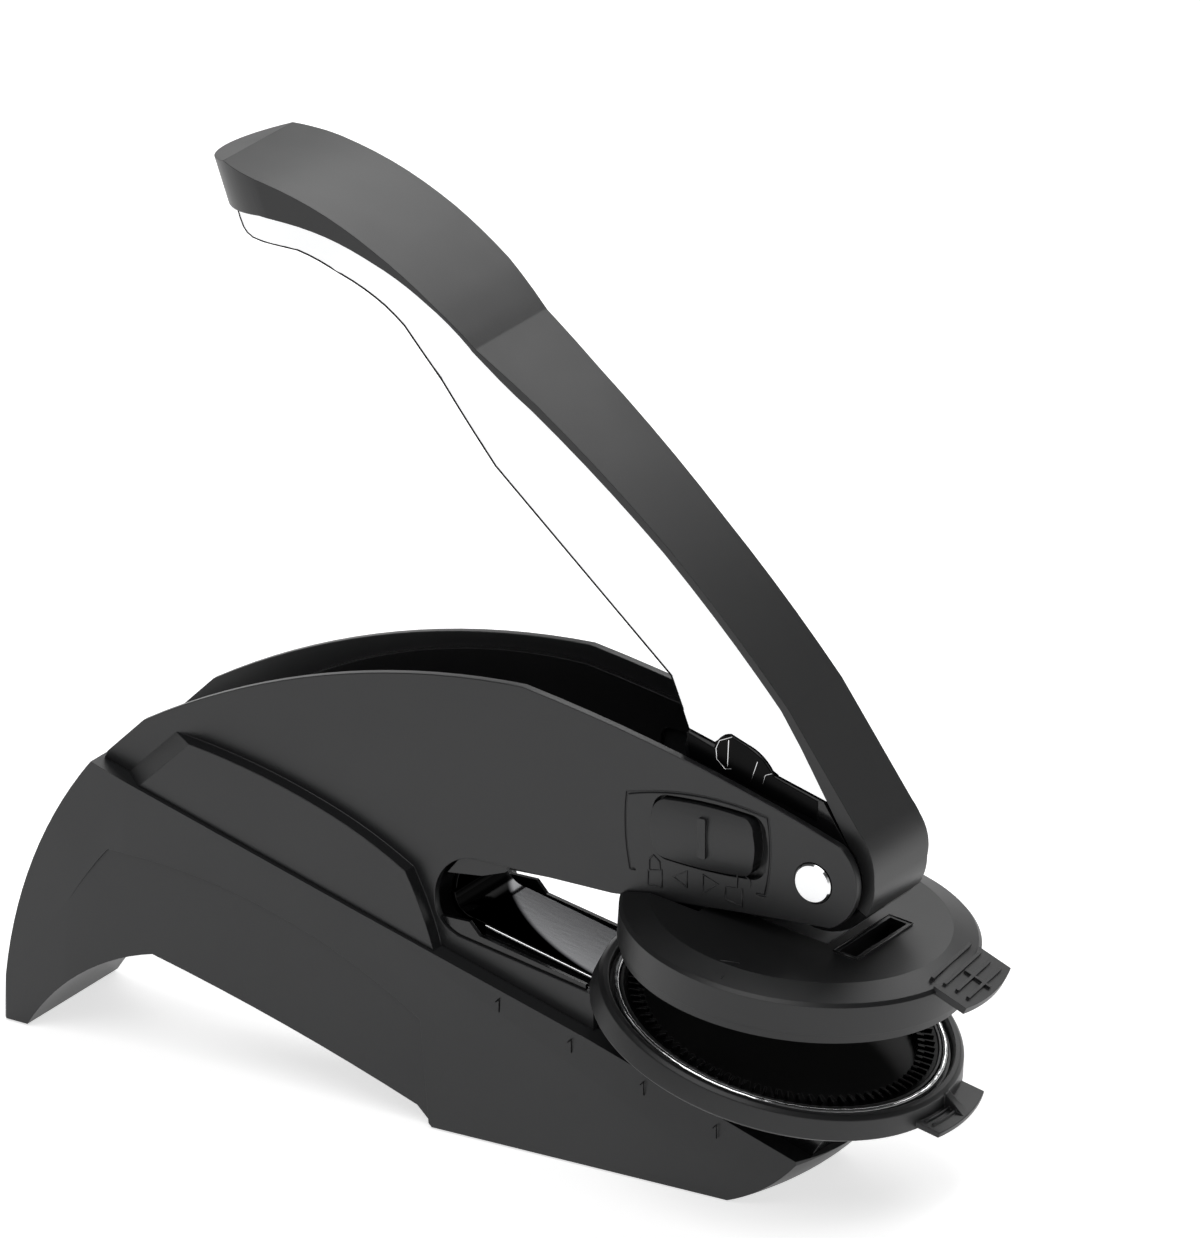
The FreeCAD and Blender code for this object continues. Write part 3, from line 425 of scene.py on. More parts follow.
def rounded_copy(work: EdgeWork, within: Piece | None = None,
                 shift: Callable[[Vector], Vector] | None = None) -> Piece:
    """Makes a piece from a CAD node with its coplanar facets joined and its edges rounded.

    Args:
        work: the node and its edge sizes.
        within: a closed shape; what lies outside it is cut off. It is removed afterwards.
        shift: gives each vertex its new place before the edges are rounded.

    Returns:
        The new piece, a plain mesh with smooth shading.
    """
    mesh = frame["nodes"][work.node].data.copy()
    cleaner = bmesh.new()
    cleaner.from_mesh(mesh)
    bmesh.ops.remove_doubles(cleaner, verts=cleaner.verts, dist=WELD)
    bmesh.ops.dissolve_limit(cleaner, angle_limit=FLAT, verts=cleaner.verts, edges=cleaner.edges,
                             delimit={"NORMAL"})
    cleaner.to_mesh(mesh)
    cleaner.free()
    if "custom_normal" in mesh.attributes:
        mesh.attributes.remove(mesh.attributes["custom_normal"])
    piece = link(work.node + "_moulded", mesh)
    for polygon in mesh.polygons:
        polygon.use_smooth = True
    if within is not None:
        cut = piece.modifiers.new("cut", "BOOLEAN")
        cut.operation = "INTERSECT"
        cut.solver = "EXACT"
        cut.object = within
        baked(piece)
        bpy.data.objects.remove(within)
    if shift is not None:
        for vertex in piece.data.vertices:
            vertex.co = shift(vertex.co)
    bevel = piece.modifiers.new("edges", "BEVEL")
    bevel.width = work.width * MM
    bevel.segments = work.segments
    bevel.limit_method = "ANGLE"
    bevel.angle_limit = math.radians(work.sharp)
    bevel.use_clamp_overlap = True
    bevel.miter_outer = "MITER_ARC"
    weights = piece.modifiers.new("normals", "WEIGHTED_NORMAL")
    weights.keep_sharp = True
    weights.mode = "FACE_AREA"
    return baked(piece)


def prism(name: str, corners: Sequence[Point], along: Vector, smooth: bool = False) -> Piece:
    """Makes a closed prism from the corners of its first face.

    Args:
        name: the object's name.
        corners: the corners of the first face, in metres.
        along: how far the face is pushed.
        smooth: whether its faces are shaded smooth.

    Returns:
        The prism, with its faces outward.
    """
    solid = bmesh.new()
    near = [solid.verts.new(corner) for corner in corners]
    far = [solid.verts.new(Vector(corner) + along) for corner in corners]
    solid.faces.new(near)
    solid.faces.new(far)
    for index, vert in enumerate(near):
        after = (index + 1) % len(near)
        solid.faces.new((vert, near[after], far[after], far[index]))
    bmesh.ops.recalc_face_normals(solid, faces=solid.faces)
    mesh = bpy.data.meshes.new(name)
    solid.to_mesh(mesh)
    solid.free()
    for polygon in mesh.polygons:
        polygon.use_smooth = smooth
    return link(name, mesh)


def between(table: Sequence[Flat], place: float) -> float:
    """Reads a table at one place, with straight lines between its rows.

    Args:
        table: places in rising order, and their values.
        place: where it is read. Beyond the table's ends its end values hold.

    Returns:
        The value.
    """
    if place <= table[0][0]:
        return table[0][1]
    for (low, first), (high, second) in zip(table, table[1:]):
        if place <= high:
            return first + (second - first) * (place - low) / (high - low)
    return table[-1][1]


def arc_between(start: Flat, middle: Flat, end: Flat, steps: int = 10) -> list[Flat]:
    """Points on the arc through three points of a plane, of less than half a turn.

    Args:
        start: the first point.
        middle: a point on the arc.
        end: the last point.
        steps: how many pieces the arc is cut into.

    Returns:
        The points from the first to the last.
    """
    first, through, last = complex(*start), complex(*middle), complex(*end)
    ratio = (last - first) / (through - first)
    centre = first + (through - first) * (ratio - abs(ratio) ** 2) / (2j * ratio.imag)
    sweep = cmath.phase((last - centre) / (first - centre))
    turned = [centre + (first - centre) * cmath.rect(1.0, sweep * step / steps)
              for step in range(steps + 1)]
    return [(point.real, point.imag) for point in turned]


def tipped(points: Iterable[Point], centre: Flat, tilt: float) -> list[Point]:
    """Places points given on a die holder's own axes.

    Args:
        points: forward, left and up, in millimetres, from the middle of the holder's rim.
        centre: X and Z of that middle.
        tilt: how far the holder leans forward, in degrees.

    Returns:
        The points in millimetres on the machine's axes.
    """
    lean = math.radians(tilt)
    return [(centre[0] + u * math.cos(lean) + h * math.sin(lean), v,
             centre[1] - u * math.sin(lean) + h * math.cos(lean)) for u, v, h in points]


def mirrored(runs: Iterable[Sequence[Flat]], reach: float) -> list[Line]:
    """Open lines on both sides of the machine.

    Args:
        runs: X and Z of each line's points, in millimetres.
        reach: how far from the middle they lie.

    Returns:
        The lines of the right side and then of the left.
    """
    return [([(x, side * reach, z) for x, z in run], False) for _, side in SIDES for run in runs]


class NodeSheet:
    """A Geometry Nodes tree that is built once and then run with its own sizes."""

    def __init__(self, name: str, sizes: dict[str, float | int]) -> None:
        """Starts the tree.

        Args:
            name: the tree's name.
            sizes: name and default of each size. Whole numbers become counts.
        """
        self.tree = bpy.data.node_groups.new(name, "GeometryNodeTree")
        face = self.tree.interface
        face.new_socket(name="Geometry", in_out="INPUT", socket_type="NodeSocketGeometry")
        face.new_socket(name="Geometry", in_out="OUTPUT", socket_type="NodeSocketGeometry")
        for label, value in sizes.items():
            kind = "NodeSocketInt" if isinstance(value, int) else "NodeSocketFloat"
            face.new_socket(name=label, in_out="INPUT", socket_type=kind).default_value = value
        face.new_socket(name="Material", in_out="INPUT", socket_type="NodeSocketMaterial")
        self.source = self.tree.nodes.new("NodeGroupInput")
        self.sink = self.tree.nodes.new("NodeGroupOutput")

    def add(self, kind: str, **inputs: object) -> Node:
        """Adds a node.

        Args:
            kind: the node's type without the words that all such types start with.
            inputs: its inputs by name, with _ for a space. A socket is linked, a value is set.

        Returns:
            The node.
        """
        named = {label.replace("_", " "): value for label, value in inputs.items()}
        return wired(self.tree, "GeometryNode" + kind, named)

    def size(self, label: str) -> Socket:
        """The socket of one of the tree's inputs."""
        return self.source.outputs[label]

    def tube(self, line: Socket, radius: Socket, corners: int, caps: bool = True) -> Socket:
        """Gives a curve a round thickness.

        Args:
            line: the curve.
            radius: the radius.
            corners: how many corners the round has.
            caps: whether its ends are closed.

        Returns:
            The geometry.
        """
        profile = self.add("CurvePrimitiveCircle", Resolution=corners, Radius=radius)
        return self.add("CurveToMesh", Curve=line, Profile_Curve=profile.outputs[0],
                        Fill_Caps=caps).outputs[0]

    def close(self, last: Socket, smooth: bool = True) -> None:
        """Ends the tree: real geometry, shading and material.

        Args:
            last: the geometry to put out.
            smooth: whether the faces are shaded smooth.
        """
        real = self.add("RealizeInstances", Geometry=last)
        shaded = self.add("SetShadeSmooth", Geometry=real.outputs[0], Shade_Smooth=smooth)
        coloured = self.add("SetMaterial", Geometry=shaded.outputs[0], Material=self.size("Material"))
        self.tree.links.new(coloured.outputs[0], self.sink.inputs[0])

    def run(self, name: str, material: Material, sizes: dict[str, float | int],
            lines: Mesh | None = None, place: Matrix | None = None) -> Piece:
        """Runs the tree and turns its result into a plain mesh.

        Args:
            name: the piece's name.
            material: its material.
            sizes: the sizes that differ from the defaults.
            lines: the mesh that the tree follows, if it follows one.
            place: where the result goes.

        Returns:
            The piece, at the origin, with no modifier left.
        """
        piece = link(name, lines or bpy.data.meshes.new(name))
        modifier = piece.modifiers.new("sheet", "NODES")
        modifier.node_group = self.tree
        filled = {**sizes, "Material": material}
        for socket in self.tree.interface.items_tree:
            if socket.in_out == "INPUT" and socket.name in filled:
                modifier[socket.identifier] = filled[socket.name]
        baked(piece)
        piece.data.transform(place or Matrix.Identity(4))
        return piece


class Sheets:
    """The Geometry Nodes trees that the sub-assemblies share."""

    def __init__(self) -> None:
        """Builds the trees."""
        self.bead = self._bead()
        self.coil = self._coil()
        self.wire = self._wire()
        self.crown = self._crown()

    @staticmethod
    def _bead() -> NodeSheet:
        """A thin round bead along every line of a mesh."""
        sheet = NodeSheet("bead_along_lines", {"Radius": 0.0001})
        line = sheet.add("MeshToCurve", Mesh=sheet.size("Geometry"))
        sheet.close(sheet.tube(line.outputs[0], sheet.size("Radius"), corners=8))
        return sheet

    @staticmethod
    def _coil() -> NodeSheet:
        """A close coil of round wire about Z."""
        sheet = NodeSheet("wire_coil", {"Mean Radius": 0.004, "Wire Radius": 0.0005, "Turns": 5.0,
                                        "Length": 0.005})
        spiral = sheet.add("CurveSpiral", Resolution=40, Rotations=sheet.size("Turns"),
                           Start_Radius=sheet.size("Mean Radius"),
                           End_Radius=sheet.size("Mean Radius"), Height=sheet.size("Length"))
        sheet.close(sheet.tube(spiral.outputs[0], sheet.size("Wire Radius"), corners=12))
        return sheet

    @staticmethod
    def _wire() -> NodeSheet:
        """A ring of drawn wire about Z, with the small waves of its bending."""
        sheet = NodeSheet("wire_ring", {"Ring Radius": 0.024, "Wire Radius": 0.0005, "Wave": 0.00005,
                                        "Seed": 7})
        circle = sheet.add("CurvePrimitiveCircle", Resolution=240, Radius=sheet.size("Ring Radius"))
        waves = wired(sheet.tree, "FunctionNodeRandomValue",
                      {0: (-1.0, -1.0, -1.0), "Seed": sheet.size("Seed")}, data_type="FLOAT_VECTOR")
        scaled = wired(sheet.tree, "ShaderNodeVectorMath",
                       {0: waves.outputs[0], "Scale": sheet.size("Wave")}, operation="SCALE")
        moved = sheet.add("SetPosition", Geometry=circle.outputs[0], Offset=scaled.outputs[0])
        sheet.close(sheet.tube(moved.outputs[0], sheet.size("Wire Radius"), corners=10, caps=False))
        return sheet

    @staticmethod
    def _crown() -> NodeSheet:
        """Upright ridges in a ring about Z, each turned to face the middle."""
        sheet = NodeSheet("ridge_crown", {"Count": 84, "Ring Radius": 0.0224, "Ridge Length": 0.0012,
                                          "Ridge Width": 0.0004, "Ridge Height": 0.001})
        ring = sheet.add("MeshCircle", Vertices=sheet.size("Count"), Radius=sheet.size("Ring Radius"))
        labels = ("Ridge Length", "Ridge Width", "Ridge Height")
        extent = wired(sheet.tree, "ShaderNodeCombineXYZ",
                       {axis: sheet.size(label) for axis, label in enumerate(labels)})
        ridge = sheet.add("MeshCube", Size=extent.outputs[0])
        where = sheet.add("InputPosition")
        facing = wired(sheet.tree, "FunctionNodeAlignRotationToVector", {"Vector": where.outputs[0]},
                       axis="X")
        placed = sheet.add("InstanceOnPoints", Points=ring.outputs[0], Instance=ridge.outputs[0],
                           Rotation=facing.outputs[0])
        sheet.close(placed.outputs[0], smooth=False)
        return sheet


def line_mesh(name: str, lines: Iterable[Line]) -> Mesh:
    """Makes a mesh of bare lines for a bead to follow.

    Args:
        name: the mesh's name.
        lines: the points of each line in millimetres, and whether it closes.

    Returns:
        The mesh, in metres.
    """
    verts: list[Vector] = []
    edges: list[tuple[int, int]] = []
    for points, closed in lines:
        first = len(verts)
        verts += [Vector(point) * MM for point in points]
        edges += [(first + step, first + step + 1) for step in range(len(points) - 1)]
        if closed:
            edges.append((len(verts) - 1, first))
    mesh = bpy.data.meshes.new(name)
    mesh.from_pydata(verts, edges, [])
    return mesh


# ---- Sub-assemblies ----
@dataclass
class SubAssembly:
    """Pieces that ride on one body and share the job of dressing its nodes.

    In each of them lengths are in millimetres, angles in degrees, and pairs are X and Z.
    """

    book: FinishBook
    sheets: Sheets
    body: str = "frame"
    edge_work: tuple[EdgeWork, ...] = ()
    made: list[Piece] = field(default_factory=list)

    def slot_of(self, node: str) -> Slot:
        """The record's slot of a node."""
        rows = {row["node"]: row["material_slot"] for row in frame["record"]["subparts"]}
        return Slot(rows[node])

    def keep(self, piece: Piece, slot: Slot, replaces: Sequence[str] = ()) -> None:
        """Finishes a piece: gives it the slot's material, puts it on its body and hides the nodes it stands
        for.

        Args:
            piece: the piece, in place.
            slot: its finish.
            replaces: the CAD nodes that it hides.
        """
        dress(piece, self.book[slot])
        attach(piece, self.body)
        if replaces:
            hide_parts(*replaces)
        self.made.append(piece)
        LOG.info("%s on %s: %d faces", piece.name, self.body, len(piece.data.polygons))

    def beads(self, name: str, slot: Slot, radius: float, lines: Iterable[Line]) -> None:
        """Lays thin beads along lines and keeps them as one piece.

        Args:
            name: the piece's name.
            slot: its finish.
            radius: the bead's radius in millimetres.
            lines: the points of each line in millimetres, and whether it closes.
        """
        mesh = line_mesh(name, lines)
        piece = self.sheets.bead.run(name, self.book[slot], {"Radius": radius * MM}, lines=mesh)
        self.keep(piece, slot)

    def plates(self, name: str, slot: Slot, corners: Sequence[Flat], reach: float, depth: float) -> None:
        """Keeps a thin upright plate on each side of the machine.

        Args:
            name: the pieces' name without their side.
            slot: their finish.
            corners: X and Z of the corners, in millimetres.
            reach: how far from the middle the first face lies.
            depth: how far it is pushed outward. Below zero it goes inward.
        """
        for label, side in SIDES:
            face = [(x * MM, side * reach * MM, z * MM) for x, z in corners]
            piece = prism(f"{name}_{label}", face, Vector((0.0, side * depth * MM, 0.0)))
            self.keep(piece, slot)

    def cutter(self, node: str) -> Piece | None:
        """The closed shape that a node's copy is cut to, if there is one."""
        return None

    def shifter(self, node: str) -> Callable[[Vector], Vector] | None:
        """How the vertices of a node's copy move before its edges are rounded, if they do."""
        return None

    def details(self) -> None:
        """Adds the pieces that only this sub-assembly has."""

    def build(self) -> list[Piece]:
        """Dresses the body's CAD nodes, rounds the edges of those that are listed, adds the details.

        Returns:
            The new pieces.
        """
        for node in frame["record"]["behaviour"]["bodies"][self.body]:
            dress(frame["nodes"][node], self.book[self.slot_of(node)])
        for work in self.edge_work:
            piece = rounded_copy(work, self.cutter(work.node), self.shifter(work.node))
            self.keep(piece, self.slot_of(work.node), [work.node])
        self.details()
        return self.made


@dataclass
class PressFrame(SubAssembly):
    """Base, side covers, plates, throat and the fixed lower half of the clip."""

    body: str = "frame"
    edge_work: tuple[EdgeWork, ...] = (
        EdgeWork("base_shell", 0.35, sharp=24.0),
        EdgeWork("side_cover_left", 0.22, sharp=24.0),
        EdgeWork("side_cover_right", 0.22, sharp=24.0),
        EdgeWork("inner_body", 0.15),
        EdgeWork("lower_bed", 0.20),
        EdgeWork("clip_lower", 0.20),
        EdgeWork("clip_leaf_lower", 0.10),
        EdgeWork("frame_plate_left", 0.12),
        EdgeWork("frame_plate_right", 0.12),
    )
    spring_mean: float = 4.2
    spring_pitch: float = 1.0
    spring_wire: float = 0.48
    spring_turns: float = 5.0
    die_centre: Flat = (45.6, 25.35)
    die_tilt: float = 16.3
    ring_radius: float = 24.3
    ring_wire: float = 0.46
    ring_wave: float = 0.035
    ring_height: float = -0.82
    crown_count: int = 84
    crown_radius: float = 21.9
    crown_height: float = -0.75
    ridge: Point = (1.5, 0.3, 1.0)
    cover_face: float = 10.0
    flank: float = 13.05
    bead_lift: float = 0.02
    sign_bead: float = 0.15
    throat_face: float = 9.5
    lip_depth: float = 0.8
    rail_depth: float = 0.7
    deck_start: Flat = (-63.3, 44.5)
    deck_tilt: float = 16.3
    deck_break: float = 20.5
    nose_fall: float = 0.326
    tick_first: float = 5.9
    tick_pitch: float = 12.17
    tick_bead: float = 0.09
    tick_stroke: tuple[Flat, ...] = ((0.1, -3.3), (0.1, -1.15), (-0.5, -1.85))
    leaf_side: float = 6.88
    leaf_start: Flat = (-0.5, 30.98)
    leaf_fall: float = 0.2304
    leaf_highlight_bead: float = 0.26

    def details(self) -> None:
        """Adds the coil, the bright ring, the crown, the marks and the throat's lips, painted edge highlights
        and rails.
        """
        self._coil()
        self._ring()
        self._crown()
        self._lock_signs()
        self._guide_marks()
        self._throat_lips()
        self._leaf_edge_highlights()
        self._throat_rails()

    def _die_place(self, height: float) -> Matrix:
        """The lower holder's own axes, raised by a height in millimetres."""
        centre = tipped([(0.0, 0.0, height)], self.die_centre, self.die_tilt)[0]
        return Matrix.Translation(Vector(centre) * MM) @ Matrix.Rotation(
            math.radians(self.die_tilt), 4, "Y")

    def _coil(self) -> None:
        """The torsion spring about the pivot pin."""
        length = self.spring_pitch * (self.spring_turns - 1)
        place = Matrix.Translation(Vector((PIVOT[0], length / 2, PIVOT[1])) * MM)
        piece = self.sheets.coil.run(
            "spring_coil", self.book[Slot.STEEL],
            {"Mean Radius": self.spring_mean * MM, "Wire Radius": self.spring_wire * MM,
             "Turns": self.spring_turns, "Length": length * MM},
            place=place @ Matrix.Rotation(math.radians(90), 4, "X"))
        self.keep(piece, Slot.STEEL, ["torsion_spring"])

    def _ring(self) -> None:
        """The bright ring of wire in the lower holder's groove."""
        piece = self.sheets.wire.run(
            "bright_ring", self.book[Slot.BRIGHT],
            {"Ring Radius": self.ring_radius * MM, "Wire Radius": self.ring_wire * MM,
             "Wave": self.ring_wave * MM}, place=self._die_place(self.ring_height))
        self.keep(piece, Slot.BRIGHT, ["retaining_ring"])

    def _crown(self) -> None:
        """Fine ridges between the die's teeth."""
        length, width, height = (size * MM for size in self.ridge)
        piece = self.sheets.crown.run(
            "die_ridges", self.book[Slot.DIE],
            {"Count": self.crown_count, "Ring Radius": self.crown_radius * MM,
             "Ridge Length": length, "Ridge Width": width, "Ridge Height": height},
            place=self._die_place(self.crown_height))
        self.keep(piece, Slot.DIE)

    def _lock_signs(self) -> None:
        """Raised outlines below the lock: closed padlock, two arrow heads and open padlock."""
        signs = [
            ([(29.2, 47.1), (31.5, 47.6), (31.5, 45.0), (29.2, 44.9)], True),
            ([(29.4, 47.2), (29.4, 48.9), (30.1, 49.6), (31.1, 48.8), (31.2, 47.6)], False),
            ([(33.4, 47.0), (35.7, 48.4), (35.7, 45.9)], True),
            ([(38.4, 48.4), (40.9, 47.5), (38.4, 45.6)], True),
            ([(42.1, 47.4), (44.9, 47.6), (44.9, 45.0), (42.1, 45.4)], True),
            ([(44.0, 47.6), (44.1, 49.5), (45.0, 50.1), (46.2, 49.3), (46.2, 48.3)], False),
        ]
        for label, side in SIDES:
            face = side * (self.cover_face + self.bead_lift)
            self.beads("lock_signs_" + label, Slot.COVER, self.sign_bead,
                       [([(x, face, z) for x, z in points], closed) for points, closed in signs])

    def _guide_marks(self) -> None:
        """The dark strokes in the four paper guide marks of each flank."""
        places = [self.tick_first + self.tick_pitch * step for step in range(4)]
        strokes = [[(x + ahead, self._deck(x) + up) for ahead, up in self.tick_stroke] for x in places]
        self.beads("guide_marks", Slot.DIE, self.tick_bead,
                   mirrored(strokes, self.flank - self.bead_lift))

    def _deck(self, x: float) -> float:
        """Height of the base's top edge, which falls a little steeper towards the nose.

        Args:
            x: the place along the edge.

        Returns:
            The height.
        """
        slope = math.tan(math.radians(self.deck_tilt))
        height = self.deck_start[1] - (min(x, self.deck_break) - self.deck_start[0]) * slope
        return height - max(0.0, x - self.deck_break) * self.nose_fall

    def _throat_lips(self) -> None:
        """The small lip that hangs from each cover into the back of the throat."""
        corners = [(-4.9, 39.1), (-2.6, 42.0), (5.7, 42.6), (4.9, 41.2), (1.0, 39.8)]
        self.plates("throat_lip", Slot.COVER, corners, self.throat_face, -self.lip_depth)

    def _leaf_edge_highlights(self) -> None:
        """The lower leaf's rounded edges, with bright beads as a painted highlight along them, which taper
        out towards the holder.
        """
        start, top = self.leaf_start
        run = [(x, top - self.leaf_fall * (x - start)) for x in (0.0, 6.0, 12.0, 18.6)]
        # bright chrome beads: a painted highlight on the leaf's real rounded edges
        self.beads("leaf_edge_highlights", Slot.BRIGHT, self.leaf_highlight_bead, mirrored([run], self.leaf_side))

    def _throat_rails(self) -> None:
        """The thin raised rails beside the leaf, which step up at the back of the throat."""
        corners = [(-7.4, 27.6), (-7.0, 31.4), (-6.4, 32.1), (-1.2, 32.15), (0.5, 30.3), (18.4, 26.7),
                   (18.4, 24.6), (0.0, 28.0)]
        self.plates("throat_rail", Slot.GLOSS, corners, self.throat_face, -self.rail_depth)


@dataclass
class Lever(SubAssembly):
    """The handle with its bright trim, hub and steel core."""

    body: str = "handle"
    edge_work: tuple[EdgeWork, ...] = (
        EdgeWork("handle_cover", 0.40, sharp=20.0),
        EdgeWork("handle_trim", 0.15, sharp=20.0),
        EdgeWork("lever_hub", 0.25),
    )
    end_axis: Flat = (-35.6, 141.2)
    end_lean: Point = (-0.335, 0.0, 0.942)
    end_back: float = -0.7
    end_length: float = 13.0
    half_width: float = 11.05
    plan_start: float = 14.0
    plan_front: float = 150.0
    plan_below: float = 170.0
    plan_height: float = 230.0
    plan_margin: float = 1.0
    plan_steps: int = 44
    end_fall: float = 0.6
    fall_start: float = -22.0
    fall_run: float = 22.0
    top_start: Flat = (-40.0, 137.5)
    top_slope: float = 0.2
    hem_side: float = 6.0
    hem_band: float = 0.6
    hem_height: tuple[Flat, ...] = (
        (-35.0, 134.19), (-30.0, 133.89), (-25.0, 133.06), (-20.0, 131.66), (-15.0, 129.65),
        (-10.0, 127.05), (-5.0, 123.51), (0.0, 118.95), (5.0, 115.5))
    hem_lift: tuple[Flat, ...] = (
        (-32.0, 0.0), (-23.5, 0.4), (-14.6, 0.7), (-7.0, 0.95), (-1.0, 0.95), (5.0, 0.0))
    trim_inset: float = 0.55
    trim_end: float = 12.23
    arm_start: Flat = (-46.0, 144.0)
    arm_along: Flat = (0.755, -0.656)
    trim_stations: tuple[Flat, ...] = (
        (-20.0, 10.3), (28.0, 10.7), (36.0, 9.1), (49.0, 7.15), (60.0, 7.0), (190.0, 7.0))
    hem_gap: float = 0.04
    hem_bead: float = 0.11
    lug_face: float = 7.15
    lug_depth: float = 0.12
    rib_reach: float = 7.25
    rib_highlight_bead: float = 0.085
    skirt_half: float = 7.0
    skirt_radii: Flat = (8.35, 6.4)

    def _round_end(self, turn: float, inset: float) -> Flat:
        """How far forward and across the grip's plan goes, so many degrees round from its rearmost line."""
        angle = math.radians(turn)
        return (-self.end_back - self.end_length * math.cos(angle),
                (self.half_width - inset) * math.sin(angle))

    def cutter(self, node: str) -> Piece | None:
        """The grip's plan with its round end, for the cover and the trim.

        Args:
            node: the CAD node that is cut.

        Returns:
            The closed shape that is kept of it, or nothing for the other nodes.
        """
        if node not in ("handle_cover", "handle_trim"):
            return None
        inset = self.trim_inset if node == "handle_trim" else 0.0
        side, steps = self.half_width + self.plan_margin, self.plan_steps
        outline = [(self.plan_front, -side), (self.plan_start, -side)]
        outline += [self._round_end(-90 + 180 * step / steps, inset) for step in range(steps + 1)]
        outline += [(self.plan_start, side), (self.plan_front, side)]
        lean = Vector(self.end_lean)
        ahead = Vector((lean.z, 0.0, -lean.x))
        low = Vector((self.end_axis[0], 0.0, self.end_axis[1])) - lean * self.plan_below
        corners = [(low + ahead * forward + Vector((0.0, across, 0.0))) * MM
                   for forward, across in outline]
        return prism(node + "_plan", corners, lean * self.plan_height * MM, smooth=True)

    def _end_point(self, turn: float, z: float) -> Point:
        """A point on the trim's round end.

        Args:
            turn: how far round the end, in degrees; 0 is its rearmost line.
            z: the height.

        Returns:
            The point in millimetres.
        """
        forward, across = self._round_end(turn, self.trim_inset)
        lean = Vector(self.end_lean)
        along = (z - self.end_axis[1] + lean.x * forward) / lean.z
        return (self.end_axis[0] + lean.z * forward + lean.x * along, across, z)

    def shifter(self, node: str) -> Callable[[Vector], Vector] | None:
        """Lets the grip's top fall towards its round end and raises its lower edge.

        Args:
            node: the CAD node whose copy moves.

        Returns:
            What moves a vertex, or nothing for the nodes that keep their shape.
        """
        if node not in ("handle_cover", "handle_trim"):
            return None

        def moved(place: Vector) -> Vector:
            """Moves one vertex of the cover or the trim.

            Args:
                place: where it is, in metres.

            Returns:
                Its new place.
            """
            x, y, z = place.x / MM, abs(place.y) / MM, place.z / MM
            share = min(1.0, max(0.0, (self.fall_start - x) / self.fall_run))
            top = self.top_start[1] - (x - self.top_start[0]) * self.top_slope
            if node == "handle_cover" and z > top:
                fall = self.end_fall * share * share * (3 - 2 * share) * (y / self.half_width) ** 2
                return place - Vector((0.0, 0.0, fall * MM))
            if y > self.hem_side and abs(z - between(self.hem_height, x)) < self.hem_band:
                return place + Vector((0.0, 0.0, between(self.hem_lift, x) * MM))
            return place

        return moved

    def details(self) -> None:
        """Adds the trim's dark hem, the lug's dark plates and bright beads (painted shade and painted
        highlights), and the skirt round the hub's foot.
        """
        self._hem()
        self._lug()
        self._skirt()

    def _trim_half(self, x: float, z: float) -> float:
        """The trim's half width.

        Args:
            x: the point's X in the side view, in millimetres.
            z: its Z.

        Returns:
            The half width in millimetres.
        """
        reach = (x - self.arm_start[0]) * self.arm_along[0] + (z - self.arm_start[1]) * self.arm_along[1]
        half = between(self.trim_stations, reach)
        lean = Vector(self.end_lean)
        forward = (x - self.end_axis[0]) * lean.z - (z - self.end_axis[1]) * lean.x
        share = max(0.0, (-self.end_back - forward) / self.trim_end)
        rounded = (self.half_width - self.trim_inset) * math.sqrt(max(0.0, 1 - share * share))
        return min(half, rounded) if share else half

    def _hem(self) -> None:
        """The thin dark line along the trim's lower edge, and up its rear end."""
        under = [(33.2, 71.6), (31.2, 76.5), (1.9, 102.4)]
        under += arc_between((1.9, 102.4), (-5.6, 111.9), (-12.4, 121.4))[1:]
        under += arc_between((-12.4, 121.4), (-19.8, 127.1), (-29.0, 130.3))[1:]
        gap = self.hem_gap
        lines = []
        for _, side in SIDES:
            run = [(x, side * (self._trim_half(x, z) + gap), z - gap) for x, z in under]
            run += [self._end_point(side * turn, z) for turn, z in (
                (82.0, 130.2), (72.0, 130.1), (62.0, 130.1), (56.0, 130.4), (53.0, 131.0),
                (52.0, 132.2), (52.0, 133.3), (56.0, 133.9))]
            lines.append((run, False))
        self.beads("trim_hem", Slot.DIE, self.hem_bead, lines)

    def _skirt(self) -> None:
        """The round skirt that closes the hub's foot, on the same radius as the cover's cap."""
        turns = [math.radians(turn) for turn in range(-30, -141, -10)]
        face = [((PIVOT[0] + radius * math.cos(turn)) * MM, -self.skirt_half * MM,
                 (PIVOT[1] + radius * math.sin(turn)) * MM)
                for radius, run in zip(self.skirt_radii, (turns, turns[::-1])) for turn in run]
        piece = prism("hub_skirt", face, Vector((0.0, 2 * self.skirt_half * MM, 0.0)))
        self.keep(piece, Slot.GLOSS)

    def _lug(self) -> None:
        """The lug's sides: dark plates that paint the shade on them, and bright beads on its hooked rim and
        ribs that paint their edge highlights, on both sides of the hub.
        """
        # dark plates on the lug's sides: painted shade, darker than the hub's own gloss black
        sides = [(33.9, 68.4), (38.4, 66.9), (38.8, 67.9), (40.0, 69.2), (41.3, 69.3), (43.8, 68.3),
                 (46.6, 66.8), (48.5, 64.5), (55.6, 62.4), (55.6, 59.4), (34.4, 64.8)]
        self.plates("lug_shade_plate", Slot.DIE, sides, self.lug_face, self.lug_depth)
        # bright chrome beads on the hook and ribs: painted highlights along their edges; the ribs and hook
        # are real
        hook = [(41.5, 69.3), (39.4, 68.3), (38.8, 67.0), (38.9, 65.4), (40.3, 64.1), (41.4, 64.4)]
        ribs = [[(40.9, 68.7), (40.7, 64.6)], [(45.7, 66.4), (44.5, 62.9)],
                [(48.1, 65.1), (47.0, 64.6), (46.6, 63.2)]]
        self.beads("lug_rib_highlights", Slot.BRIGHT, self.rib_highlight_bead, mirrored([hook] + ribs, self.rib_reach))


